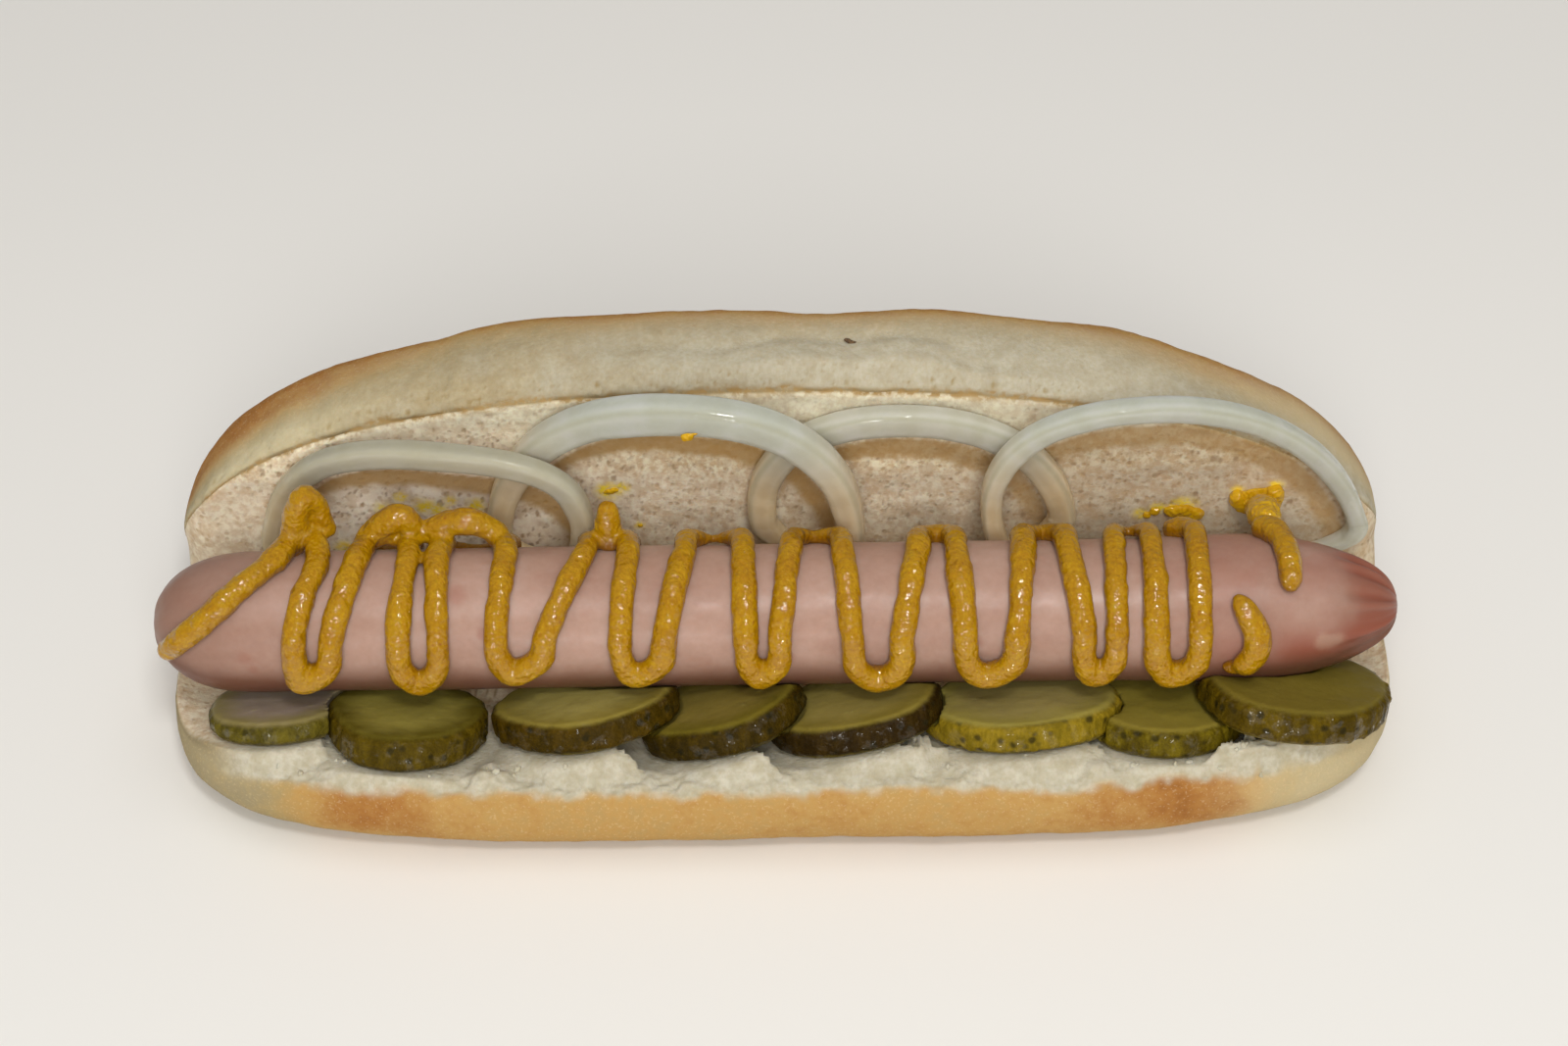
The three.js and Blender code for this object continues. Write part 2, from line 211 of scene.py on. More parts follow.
def new_piece(name, points, faces, material, smooth=True):
    """A mesh object from points in millimetres."""
    mesh = bpy.data.meshes.new(name)
    mesh.from_pydata((np.asarray(points) * MM).tolist(), [], faces)
    mesh.update()
    if smooth:
        mesh.shade_smooth()
    mesh.materials.append(material)
    return add_object(name, mesh)


def dress(piece, slot, *nodes):
    """The piece rides with the part and stands for some nodes; slot is not used."""
    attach(piece, "root")
    if nodes:
        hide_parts(*nodes)
    return piece


def paint(piece, **layers):
    """Stores numbers for every point, which the materials read by name."""
    for name, values in layers.items():
        layer = piece.data.attributes.new(name, "FLOAT", "POINT")
        layer.data.foreach_set("value", np.asarray(values, np.float32))


def vertex_values(piece, name):
    flat = np.zeros(len(piece.data.vertices) * 3)
    piece.data.vertices.foreach_get(name, flat)
    return flat.reshape(-1, 3)


def points_of(piece):
    return vertex_values(piece, "co") / MM


def push_out(piece, points, rise):
    """The mesh takes these points, moved out along its normals."""
    moved = points + vertex_values(piece, "normal") * rise[:, None]
    piece.data.vertices.foreach_set("co", (moved * MM).ravel())
    piece.data.update()


def fuse(piece, voxel, rounds):
    """One closed skin round everything in the piece, its steps smoothed away."""
    remesh = piece.modifiers.new("fuse", "REMESH")
    remesh.mode = "VOXEL"
    remesh.voxel_size = voxel * MM
    soften = piece.modifiers.new("soften", "SMOOTH")
    soften.factor = 0.5
    soften.iterations = rounds
    graph = bpy.context.evaluated_depsgraph_get()
    shaped = bpy.data.meshes.new_from_object(piece.evaluated_get(graph))
    piece.modifiers.clear()
    piece.data = shaped
    shaped.shade_smooth()


def tube_faces(rings, sides, closed=False):
    """Quads between rings of equal size, and a flat face at both ends unless it is closed."""
    faces = []
    for ring in range(rings if closed else rings - 1):
        here, there = ring * sides, (ring + 1) % rings * sides
        for side in range(sides):
            after = (side + 1) % sides
            faces.append((here + side, here + after, there + after, there + side))
    if not closed:
        faces.append(tuple(reversed(range(sides))))
        faces.append(tuple(range((rings - 1) * sides, rings * sides)))
    return faces


def catmull_rom(points, places, closed):
    """Points of a centripetal Catmull-Rom curve. Places count control points from 0."""
    points = np.asarray(points, float)
    count = len(points)
    first = np.floor(places).astype(int)
    if not closed:
        first = np.clip(first, 0, count - 2)
        ends = np.stack([2 * points[0] - points[1], 2 * points[-1] - points[-2]])
        points = np.concatenate([ends[:1], points, ends[1:]])
        around = [points[first + step] for step in range(4)]
    else:
        around = [points[(first + step) % count] for step in (-1, 0, 1, 2)]
    extra = (slice(None),) + (None,) * (points.ndim - 1)
    part = (np.asarray(places) - first)[extra]
    spans = [np.linalg.norm(around[k + 1] - around[k], axis=-1, keepdims=True) ** 0.5 for k in range(3)]
    spans[1] = np.maximum(spans[1], 1e-4)
    spans[0] = np.where(spans[0] < 1e-4, spans[1], spans[0])
    spans[2] = np.where(spans[2] < 1e-4, spans[1], spans[2])
    p0, p1, p2, p3 = around
    d0, d1, d2 = spans
    start = ((p1 - p0) / d0 - (p2 - p0) / (d0 + d1) + (p2 - p1) / d1) * d1
    end = ((p2 - p1) / d1 - (p3 - p1) / (d1 + d2) + (p3 - p2) / d2) * d1
    bend = 3 * (p2 - p1) - 2 * start - end
    twist = 2 * (p1 - p2) + start + end
    return p1 + part * (start + part * (bend + part * twist))


# ---- materials
def linear(code):
    """A #rrggbb colour as Blender's linear red, green, blue and alpha."""
    channels = [int(code[i:i + 2], 16) / 255 for i in (1, 3, 5)]
    return tuple(c / 12.92 if c < 0.04045 else ((c + 0.055) / 1.055) ** 2.4 for c in channels) + (1.0,)


class Look:
    """One material, with short calls for its nodes. Sizes are in millimetres."""

    def __init__(self, name, **sockets):
        self.material = bpy.data.materials.new(name)
        self.material.use_nodes = True
        self.tree = self.material.node_tree
        self.tree.nodes.clear()
        self.surface = self.tree.nodes.new("ShaderNodeBsdfPrincipled")
        output = self.tree.nodes.new("ShaderNodeOutputMaterial")
        self.tree.links.new(self.surface.outputs[0], output.inputs[0])
        self.place = self.node("ShaderNodeTexCoord", {})["Object"]
        for socket, value in sockets.items():
            self.surface.inputs[socket.replace("_", " ")].default_value = value

    def node(self, kind, inputs, **settings):
        """The outputs of a new node, whose inputs are sockets, numbers or colours."""
        node = self.tree.nodes.new(kind)
        for name, value in settings.items():
            setattr(node, name, value)
        for name, source in inputs.items():
            self.join(source, node.inputs[name])
        return node.outputs

    def join(self, source, socket):
        """A socket takes a link from another, or a plain number or colour."""
        if isinstance(source, bpy.types.NodeSocket):
            self.tree.links.new(source, socket)
        else:
            socket.default_value = linear(source) if isinstance(source, str) else source

    def set(self, name, source):
        self.join(source, self.surface.inputs[name])

    def layer(self, name, share=None):
        """Numbers painted on the mesh, or a share of them."""
        painted = self.node("ShaderNodeAttribute", {}, attribute_name=name)["Fac"]
        return painted if share is None else self.times(painted, share)

    def stretched(self, stretch):
        return self.node("ShaderNodeVectorMath", {0: self.place, 1: stretch}, operation="MULTIPLY")[0]

    def warped(self, size, amount):
        """Places pushed about by up to half of amount, in swirls of a size."""
        swirl = self.node("ShaderNodeTexNoise", {"Vector": self.place, "Scale": 1 / (size * MM)})["Color"]
        pushed = {0: swirl, 1: (amount * MM,) * 3, 2: self.place}
        return self.node("ShaderNodeVectorMath", pushed, operation="MULTIPLY_ADD")[0]

    def noise(self, size, detail, stretch=(1, 1, 1), roughness=0.55):
        inputs = {"Vector": self.stretched(stretch), "Scale": 1 / (size * MM), "Detail": detail,
                  "Roughness": roughness}
        return self.node("ShaderNodeTexNoise", inputs)["Fac"]

    def cells(self, size, place=None):
        inputs = {"Vector": place or self.place, "Scale": 1 / (size * MM)}
        return self.node("ShaderNodeTexVoronoi", inputs)["Distance"]

    def fade(self, source, low, high, start=0.0, end=1.0):
        """From start to end as the source goes from low to high, smoothly."""
        inputs = {"Value": source, "From Min": low, "From Max": high, "To Min": start, "To Max": end}
        return self.node("ShaderNodeMapRange", inputs, interpolation_type="SMOOTHSTEP")["Result"]

    def sum(self, *terms):
        """Terms are sockets or numbers, or pairs of a socket and what it is multiplied by."""
        total = 0.0
        for term in terms:
            source, factor = term if isinstance(term, tuple) else (term, 1.0)
            total = self.node("ShaderNodeMath", {0: source, 1: factor, 2: total}, operation="MULTIPLY_ADD")[0]
        return total

    def times(self, first, second):
        return self.node("ShaderNodeMath", {0: first, 1: second}, operation="MULTIPLY")[0]

    def ramp(self, source, *stops):
        node = self.tree.nodes.new("ShaderNodeValToRGB")
        self.join(source, node.inputs["Fac"])
        elements = node.color_ramp.elements
        for _ in stops[2:]:
            elements.new(0.5)
        for element, (place, code) in zip(elements, stops):
            element.position = place
            element.color = linear(code)
        return node.outputs["Color"]

    def mix(self, factor, under, over, way="MIX"):
        return self.node("ShaderNodeMix", {0: factor, 6: under, 7: over}, data_type="RGBA", blend_type=way)[2]

    def coats(self, colour, *coats):
        """A colour with others over it, each with how much of it shows, from the lowest up."""
        for factor, over in coats:
            colour = self.mix(factor, colour, over)
        return colour

    def relief(self, height, depth, strength):
        """Fine relief whose height of 1 stands depth millimetres up."""
        inputs = {"Strength": strength, "Distance": depth * MM, "Height": height}
        normal = self.node("ShaderNodeBump", inputs)["Normal"]
        self.set("Normal", normal)
        self.set("Coat Normal", normal)


def bread_look():
    look = Look("bread", Roughness=0.85, Subsurface_Weight=0.2, Subsurface_Scale=0.002,
                Subsurface_Radius=(1.0, 0.6, 0.3), Specular_IOR_Level=0.12)
    drift = look.noise(14, 3)
    mottle = look.noise(2.6, 3)
    grain = look.noise(0.9, 3)
    speck = look.noise(0.45, 1)
    ridges = look.noise(1.3, 3, (1, 1, 0.7), 0.65)
    holes = look.fade(look.cells(1.25, look.stretched((0.9, 1, 0.75))), 0.16, 0.4, 1, 0)
    holes = look.times(holes, look.fade(look.noise(1.8, 2), 0.4, 0.52))
    baked = look.sum(look.layer("baked"), look.fade(drift, 0.3, 0.7, -0.06, 0.06),
                     look.fade(mottle, 0.3, 0.7, -0.05, 0.05), look.fade(grain, 0.3, 0.7, -0.04, 0.04))
    skin = look.ramp(baked, (0.0, "#928464"), (0.2, "#a78f5f"), (0.45, "#b69054"), (0.7, "#a37038"),
                     (1.0, "#7d4a20"))
    # Cream of the unbaked ends, brighter at the right end as painted light
    skin = look.coats(skin, (look.layer("cream"), "#c9b890"),
                      (look.fade(speck, 0.55, 0.75, 0, 0.25), "#dac49a"))
    fibre = look.fade(look.noise(0.7, 2, (1, 1, 0.5)), 0.35, 0.65, 0, 0.3)
    side = look.coats(look.mix(look.fade(mottle, 0.35, 0.65), "#b1a790", "#bab29d"),
                      (fibre, "#a39673"), (look.times(holes, 0.16), "#94805c"),
                      (look.fade(look.layer("pore"), 0.05, 0.6, 0, 0.75), "#97804f"))
    warmth = look.ramp(look.layer("warm"), (0.0, "#ffffff"), (0.5, "#f8f7f5"), (1.0, "#f1e7d3"))
    side = look.mix(look.layer("pale_end"), look.mix(1.0, side, warmth, "MULTIPLY"), "#d6cba6")
    skin = look.mix(look.sum(look.layer("band"), (look.layer("baked"), -1.35)), skin, side)
    stain = look.times(look.layer("stain"), look.fade(grain, 0.35, 0.6, 0.4, 1.0))
    # Over the crumb: damp grease with painted shade low by the sausage, a painted pool of light behind the
    # first ring, painted shade towards the right, pores, the rings' shade and stains
    crumb = look.coats(look.mix(look.fade(ridges, 0.36, 0.62), "#dfc49b", "#fcf0cf"),
                       (look.layer("damp", 0.45), "#cbbcaa"), (look.layer("bright"), "#fff2de"),
                       (look.layer("dull"), "#a68f6e"), (look.times(holes, 0.45), "#b08f68"),
                       (look.fade(mottle, 0.48, 0.62, 0, 0.4), "#bd9b72"),
                       (look.layer("high", 0.55), "#cac8b5"),
                       (look.fade(look.layer("pore"), 0.05, 0.7, 0, 0.7), "#9a7c5a"),
                       (look.layer("shade", 0.88), "#b38d53"), (stain, "#ffe036"))
    torn = look.coats("#b2a990", (look.fade(mottle, 0.3, 0.7), "#c6bfab"),
                      (look.fade(grain, 0.35, 0.6, 0.3, 0), "#a29578"))
    # The cut line's colour, which also carries painted shade on the lip just below the cut
    line = look.times(look.layer("line"), look.fade(look.noise(1.2, 3), 0.42, 0.58, 0.3, 1.0))
    look.set("Base Color", look.coats(skin, (look.layer("crumb"), crumb), (look.layer("torn"), torn),
                                      (line, "#a38657")))
    sunken = look.times(holes, look.layer("crumb"))
    look.relief(look.sum((grain, 0.5), (sunken, -0.4), (ridges, 0.5), (speck, 0.25)), 0.26, 0.6)
    return look.material


def sausage_look():
    look = Look("sausage_skin", Subsurface_Weight=0.3, Subsurface_Scale=0.004, Specular_IOR_Level=0.24,
                Coat_Weight=0.06, Coat_Roughness=0.3, Subsurface_Radius=(1.0, 0.4, 0.25))
    cloud = look.noise(9, 3, (0.6, 1, 1))
    fine = look.noise(1.1, 3)
    skin = look.ramp(look.sum((cloud, 0.75), (fine, 0.25)), (0.3, "#9f7b6a"), (0.5, "#ab8978"),
                     (0.72, "#b69687"))
    # Red marks, which in the tip's folds carry painted shade
    look.set("Base Color", look.coats(skin, (look.layer("red"), "#944a36"), (look.layer("pale"), "#cdb39a"),
                                      # Painted shade towards the underside and both ends
                                      (look.layer("under"), "#6f4837")))
    look.set("Roughness", look.fade(look.noise(3, 2), 0.3, 0.7, 0.36, 0.5))
    look.relief(look.sum((fine, 0.4), (look.noise(2.6, 2, (0.35, 1, 1)), 0.6)), 0.12, 0.45)
    return look.material


def mustard_look(name, dark, middle, light):
    look = Look(name, Subsurface_Weight=0.15, Subsurface_Scale=0.0015, Specular_IOR_Level=0.05,
                Coat_Weight=0.9, Coat_Roughness=0.055, Subsurface_Radius=(1.0, 0.6, 0.1))
    grain = look.noise(0.6, 3)
    cloud = look.noise(4, 2)
    paste = look.ramp(look.sum((grain, 0.5), (cloud, 0.5)), (0.32, dark), (0.5, middle), (0.7, light))
    seeds = look.times(look.fade(look.cells(1.9), 0.08, 0.17, 1, 0), look.fade(look.noise(6, 1), 0.52, 0.6))
    look.set("Base Color", look.coats(paste, (look.times(seeds, 0.6), "#8a4d0c"),
                                      (look.fade(look.noise(0.5, 2), 0.56, 0.7, 0, 0.25), "#d0a81c"),
                                      # Darker near the skin: thin paste, with painted contact shade
                                      (look.layer("edge", 0.7), "#6e3f04")))
    look.set("Roughness", look.fade(grain, 0.3, 0.7, 0.3, 0.5))
    look.relief(look.sum((grain, 0.15), (look.noise(1.7, 1), 1.0), (look.noise(0.9, 1), 0.75)), 0.42, 1.0)
    return look.material


def pickle_look(name, flesh, flesh_rim, rind, rind_light):
    look = Look(name, Subsurface_Weight=0.25, Subsurface_Scale=0.003, Specular_IOR_Level=0.06,
                Subsurface_Radius=(1.0, 0.9, 0.3), Coat_Roughness=0.05)
    fibre = look.noise(2.2, 3, (0.5, 1, 1))
    inside = look.mix(look.sum(look.layer("rim"), look.fade(fibre, 0.3, 0.7, -0.15, 0.15)), flesh, flesh_rim)
    inside = look.mix(look.layer("seed", 0.5), inside, "#a39b5a")
    spots = look.fade(look.cells(2.7, look.warped(2, 0.6)), 0.12, 0.34, 1, 0)
    streaks = look.fade(look.noise(2.4, 4, (1, 1, 0.35), 0.7), 0.35, 0.7)
    outside = look.mix(streaks, rind, rind_light)
    outside = look.mix(look.times(spots, 0.75), outside, "#1f1c0c")
    look.set("Base Color", look.mix(look.layer("rind"), inside, outside))
    look.set("Roughness", look.fade(look.noise(1.8, 2), 0.35, 0.65, 0.3, 0.5))
    wet = look.fade(look.noise(2.2, 2), 0.52, 0.6, 0.0, 0.75)
    look.set("Coat Weight", look.times(wet, look.sum((look.layer("rind"), 0.75), 0.25)))
    rough = look.times(look.noise(1.2, 2), look.sum((look.layer("rind"), 3.0), 0.4))
    look.relief(look.sum(rough, (fibre, 0.4)), 0.2, 0.7)
    return look.material


def onion_look():
    look = Look("onion", Subsurface_Weight=1.0, Subsurface_Scale=0.005, Specular_IOR_Level=0.2,
                Subsurface_Radius=(1.0, 0.95, 0.8), Coat_Roughness=0.08)
    grain = look.noise(1.0, 3)
    fresh = look.ramp(look.sum((look.layer("strand"), 0.55), (grain, 0.45)), (0.25, "#b0b1a3"),
                      (0.5, "#b6b8ac"), (0.75, "#bcbdb6"))
    # Beige painted where the crumb is seen through the thin ring
    deep = look.mix(look.fade(look.layer("strand"), 0.2, 0.8), "#d0b890", "#dac5a0")
    flesh = look.mix(look.layer("deep"), fresh, deep)
    # Painted shade on the lit corner and upward outer side of the rings
    look.set("Base Color", look.mix(look.layer("corner", 0.8), flesh, "#8f8c78"))
    look.set("Roughness", look.fade(grain, 0.3, 0.7, 0.4, 0.55))
    look.set("Coat Weight", look.fade(look.noise(4, 2), 0.48, 0.6, 0, 0.8))
    look.relief(look.sum((look.layer("strand"), 0.3), (grain, 0.4), (look.noise(2.4, 1), 0.4)), 0.16, 0.7)
    return look.material


# ---- bun
# Control points of the bun's section, counted round it from the front of the lower half
BOTTOM_START, FRONT_START, SECTION_POINTS = 24.0, 28.0, 30
STRIP_END, HINGE_PLACE, CUT_EDGE, BAND_END = 2.3, 7.3, 14.0, 17.2
SECTION_ROWS = [(0.0, STRIP_END, 28), (STRIP_END, HINGE_PLACE, 24), (HINGE_PLACE, CUT_EDGE, 90),
                (CUT_EDGE, BAND_END, 30), (BAND_END, BOTTOM_START, 22), (BOTTOM_START, FRONT_START, 8),
                (FRONT_START, float(SECTION_POINTS), 14)]


def bread_wave(x, phase):
    return 0.5 * np.sin(x * 0.083 + phase) + 0.35 * np.sin(x * 0.19 + 2.3 * phase)


def bun_outlines(x):
    """Control points of the section at every x, across and up from the sausage's axis."""
    ratio = x / BUN_HALF_LENGTH
    cap_reach = superellipse(ratio, np.where(x < 0, CAP_ROUNDNESS_LEFT, CAP_ROUNDNESS_RIGHT))
    base_reach = superellipse(ratio, BASE_ROUNDNESS)
    bulk = superellipse(ratio, BULK_ROUNDNESS)
    in_end = np.clip((np.abs(x) - BUN_HALF_LENGTH + END_ROUNDING) / END_ROUNDING, 0, 1)
    turn_in = 0.3 * CAP_THICKNESS * (1 - np.sqrt(1 - in_end**2))

    def cap(along, back):
        up = along * cap_reach
        back = turn_in + back * np.maximum(bulk - turn_in / CAP_THICKNESS, 0.03)
        return (HINGE_Y + up * math.cos(LEAN) + back * math.sin(LEAN),
                HINGE_Z + up * math.sin(LEAN) - back * math.cos(LEAN))

    def base(out, z):
        return HINGE_Y - out * base_reach, BASE_WAIST + (z - BASE_WAIST) * bulk

    edge = bread_wave(x, 1.1)
    side = bread_wave(x, 4.2)
    floor = -AXIS_Z - 0.4
    outline = [
        base(BASE_DEPTH, BASE_TOP - 4),
        base(BASE_DEPTH - 1.4, BASE_TOP + 0.5 * edge),
        base(BASE_DEPTH - 5, BASE_TOP + 0.6 + 0.6 * edge),
        base(BASE_DEPTH - 17, BASE_TOP - 2.4),
        base(BASE_DEPTH - 30, BASE_TOP - 6.2),
        base(11, BASE_TOP - 5.4),
        base(4.5, BASE_TOP - 2),
        base(1.2, BASE_TOP + 0.9),
        cap(4, 0),
        cap(9, 0),
        cap(17, 0),
        cap(27, 0),
        cap(CAP_DEPTH - 10, 0),
        cap(CAP_DEPTH - 4, 0),
        cap(CAP_DEPTH - 1.4, 0.2),
        cap(CAP_DEPTH + 1.3 + 0.4 * edge, 3.5),
        cap(CAP_DEPTH + 2 + 0.6 * side, 10),
        cap(CAP_DEPTH - 0.8, 17.5 + side),
        cap(CAP_DEPTH - 8.5, CAP_THICKNESS - 1.5 + side),
        cap(25, CAP_THICKNESS + 0.8 * edge),
        cap(12, CAP_THICKNESS - 2 + 0.6 * side),
        cap(3, 15),
        base(-11.5, -15),
        base(-13, -21.5),
        base(-8, -28.4),
        base(4, floor),
        base(20, floor),
        base(BASE_DEPTH - 18, floor),
        base(BASE_DEPTH - 7.5, -28.9),
        base(BASE_DEPTH - 1.2 + 0.4 * side, -24),
    ]
    return np.array([[y, np.maximum(z, floor)] for y, z in outline]).transpose(0, 2, 1)


def height_up_wall(points):
    """How high up the standing half's crumb each point is."""
    return (points[:, 2] - AXIS_Z - HINGE_Z) / math.sin(LEAN)


def pickle_frame(slice_sizes):
    """A slice's middle, and its turned axes as the columns of a matrix."""
    x, y, _, _, _, top, roll = slice_sizes
    turn = Matrix.Rotation(-PICKLE_TILT, 3, "X") @ Matrix.Rotation(-math.radians(roll), 3, "Y")
    return np.array([x + MIDDLE_X, AXIS_Y + y, AXIS_Z + top]), np.array(turn)


def in_pickle(points, index):
    """Points in the axes of a slice, and how far out they are as a share of its outline."""
    width, depth = PICKLES[index][2:4]
    middle, axes = pickle_frame(PICKLES[index])
    local = (points - middle) @ axes
    turn = np.arctan2(-local[:, 1] / depth, local[:, 0] / width)
    lobes = 1 + 0.025 * np.cos(3 * turn + index) + 0.015 * np.cos(5 * turn + 2 * index)
    return local, np.hypot(local[:, 0] / width, local[:, 1] / depth) / lobes


def press_pickles(points, natural):
    """The crumb's height where the slices lie in it: it meets their undersides."""
    lowered = natural.copy()
    raised = natural.copy()
    ceiling = np.full(len(points), np.inf)
    for index, sizes in enumerate(PICKLES):
        middle, axes = pickle_frame(sizes)
        normal = axes[:, 2]
        under = middle - (sizes[4] + 0.25) * normal
        plane = under[2] - (normal[0] * (points[:, 0] - under[0])
                            + normal[1] * (points[:, 1] - under[1])) / normal[2]
        reach = in_pickle(np.column_stack([points[:, :2], plane]), index)[1]
        near = 1 - ease(reach, 1.03, 1.38)
        lowered = np.minimum(lowered, natural + np.minimum(plane - natural, 0) * near)
        raised = np.maximum(raised, natural + np.clip(plane - natural, 0, 3.5) * near)
        ceiling = np.where(near > 0.97, np.minimum(ceiling, plane), ceiling)
    return np.where(lowered < natural - 1e-6, lowered, np.minimum(raised, ceiling))


# A ring's shade on the crumb: how far down it starts for each millimetre that the ring's front
# stands off the wall, and how far aside and down it reaches from there
SHADE_START = 1.19
SHADE_ASIDE, SHADE_DOWN = 1.8, 4.4


def ring_shade(points):
    """Where an onion ring keeps the high light off the crumb that it stands in front of."""
    up = height_up_wall(points)
    flat = points[:, 0] - MIDDLE_X
    soft = 0.5 * smooth_noise(points, 2.2, 17)
    shade = np.zeros(len(points))
    for index, (x, middle, half, rise, drop, skew, power, wall, high, _, yaw) in enumerate(ONIONS):
        angle = math.radians(yaw)
        off = WALL_GAP + half * abs(math.sin(angle)) + (flat - x) * math.sin(angle) + high

        def in_hole(aside, down, blur):
            above = up + SHADE_START * off + down - middle
            raised = above / np.where(above > 0, rise, drop)
            lean = skew * np.clip(raised, -1, 1) * np.where(raised > 0, 1, 0.5)
            across = (flat + aside - x - lean) / half
            reach = (np.abs(across) ** power + np.abs(raised) ** power) ** (1 / power)
            thick = wall + RING_EXTRA[index] * np.clip(raised, 0, 1)
            away = np.maximum(np.hypot(across * half, above), 0.1)
            inside = (1 - reach) * away / np.maximum(reach, 0.01) - thick
            return ease(inside, -blur, blur)

        lit = in_hole(SHADE_ASIDE, SHADE_DOWN + soft, 1.1)
        shade = np.maximum(shade, in_hole(0, 0, 0.4) * (1 - lit))
    return shade


# Yellow stains on the crumb: x, height up the wall and reach
STAINS = [(-63.1, 19.6, 1.5), (-66.2, 16.4, 2.2), (-59.4, 17.4, 2.6), (-55.0, 18.6, 1.7), (-57.2, 16.2, 2.2),
          (-51.0, 17.4, 2.4), (-28.8, 20.4, 2.8), (-26.6, 21.2, 1.8), (-24.2, 11.6, 1.0),
          (-84.6, 10.8, 2.2), (-73.6, 7.2, 2.2), (58.6, 12.6, 1.8), (61.4, 14.2, 1.8), (65.4, 14.2, 3.0),
          (74.2, 18.2, 1.8), (77.4, 16.8, 2.6), (80.4, 19.4, 1.8)]
FLUFF_PEAKS = [-46.2, 50.4]              # where torn crumb stands up between two slices
STATION_STEP, LAST_STATION = 0.46, 85    # along the bun, up to where its ends round off
END_ANGLES = (58.6, 88.4, 34)            # degrees of the first and last station there, and how many


def bun_grid():
    """Points and normals of the smooth bun, station by station, and places round its section."""
    middle = np.arange(-LAST_STATION, LAST_STATION, STATION_STEP)
    tip = BUN_HALF_LENGTH * np.sin(np.radians(np.linspace(*END_ANGLES)))
    x = np.concatenate([-tip[::-1], middle, tip])
    rows = np.concatenate([np.linspace(start, end, count, endpoint=False)
                           for start, end, count in SECTION_ROWS])
    section = catmull_rom(bun_outlines(x), rows, closed=True)
    grid = np.empty((len(x), len(rows), 3))
    grid[..., 0] = (x + BUN_CENTRE_X + MIDDLE_X)[:, None]
    grid[..., 1] = section[..., 0].T + AXIS_Y
    grid[..., 2] = np.maximum(section[..., 1].T + AXIS_Z, 0)
    along = np.gradient(grid, axis=0)
    across = np.roll(grid, -1, axis=1) - np.roll(grid, 1, axis=1)
    return grid, unit(np.cross(along, across)), rows


def bun_zones(points, place):
    """How far each point is in each zone of the bun, and the lumps and pits at that point."""
    zone = SimpleNamespace(px=points[:, 0])
    zone.wall = between(place, HINGE_PLACE - 0.2, HINGE_PLACE + 0.3, 13.75, 14.0)
    zone.crumb = np.maximum(zone.wall, between(place, 1.3, 2.2, HINGE_PLACE - 0.4, HINGE_PLACE))
    ragged = 0.25 * smooth_noise(points, 3.7, 3) + 0.14 * smooth_noise(points, 1.2, 5)
    zone.torn = between(place, 0.6 + ragged, 1.15 + ragged, 2.6, 4.0) * (1 - ease(np.abs(zone.px), 84, 93))
    zone.band = between(place, 14.0, 14.25, 16.4, 17.6)
    zone.near_cut = zone.band * (1 - ease(place, 14.6, 15.6))
    upright = points * (1, 1, 0.66)
    zone.big = pits(upright, 1.7, 0.45, 11, 0.2, 0.45)
    zone.small = pits(upright, 1.0, 0.6, 21, 0.3, 0.55)
    zone.lump = layered_noise(points, 6, 31)
    zone.fluff = layered_noise(points * (1, 1, 0.8), 2.4, 41)
    line_place = CUT_EDGE + 0.22 * smooth_noise(points, 8, 51) + 0.24 * layered_noise(points, 2.4, 52)
    zone.line = hill(place, line_place, 0.17)
    # Painted shade on the lip of crumb just below the cut line, which faces up into the light; it is stored
    # with the cut line
    zone.lip = hill(place, 13.72, 0.3) * (0.5 + 0.6 * layered_noise(points, 2.2, 53))
    return zone


def bun_relief(points, place, zone):
    """How far each point stands out from the smooth bun."""
    px, lump, fluff, small = zone.px, zone.lump, zone.fluff, zone.small
    ribs = smooth_noise(np.column_stack([px, place * 0.6, 0 * px]), 4.2, 47) * (1 - ease(px, -50, -20))
    crease_place = 15.75 + 0.16 * np.sin(px * 0.11) + 0.1 * np.sin(px * 0.31 + 1)
    crease = hill(place, crease_place, 0.2) * between(px, -34, -18, 24, 38)
    crease += 0.5 * hill(place, crease_place - 0.5, 0.18) * between(px, -14, 0, 34, 50)
    below = hill(place, crease_place - 0.75, 0.4) * between(px, -34, -18, 34, 50)
    rise = zone.wall * (0.35 * lump + 0.1 * fluff - 0.12 * zone.big - 0.06 * small)
    rise += zone.torn * (0.75 * fluff + 0.35 * smooth_noise(points, 0.9, 45) - 0.4 * small)
    rise += zone.band * (0.3 * lump + 0.12 * fluff - 0.5 * crease + 0.6 * below + 0.3 * ribs)
    rise += zone.near_cut * (0.3 * fluff - 0.35 * small - 0.2 * zone.big) - 0.3 * zone.line
    rise += hill(place, 13.85, 0.35) * (0.3 * smooth_noise(points, 1.5, 54) - 0.25)
    for x in FLUFF_PEAKS:
        rise += 2.2 * hill(px, x, 2.6) * hill(place, 1.7, 0.5)
    crust = (1 - zone.crumb) * (1 - zone.torn) * (1 - zone.band)
    return rise + crust * (0.3 * lump + 0.05 * fluff)


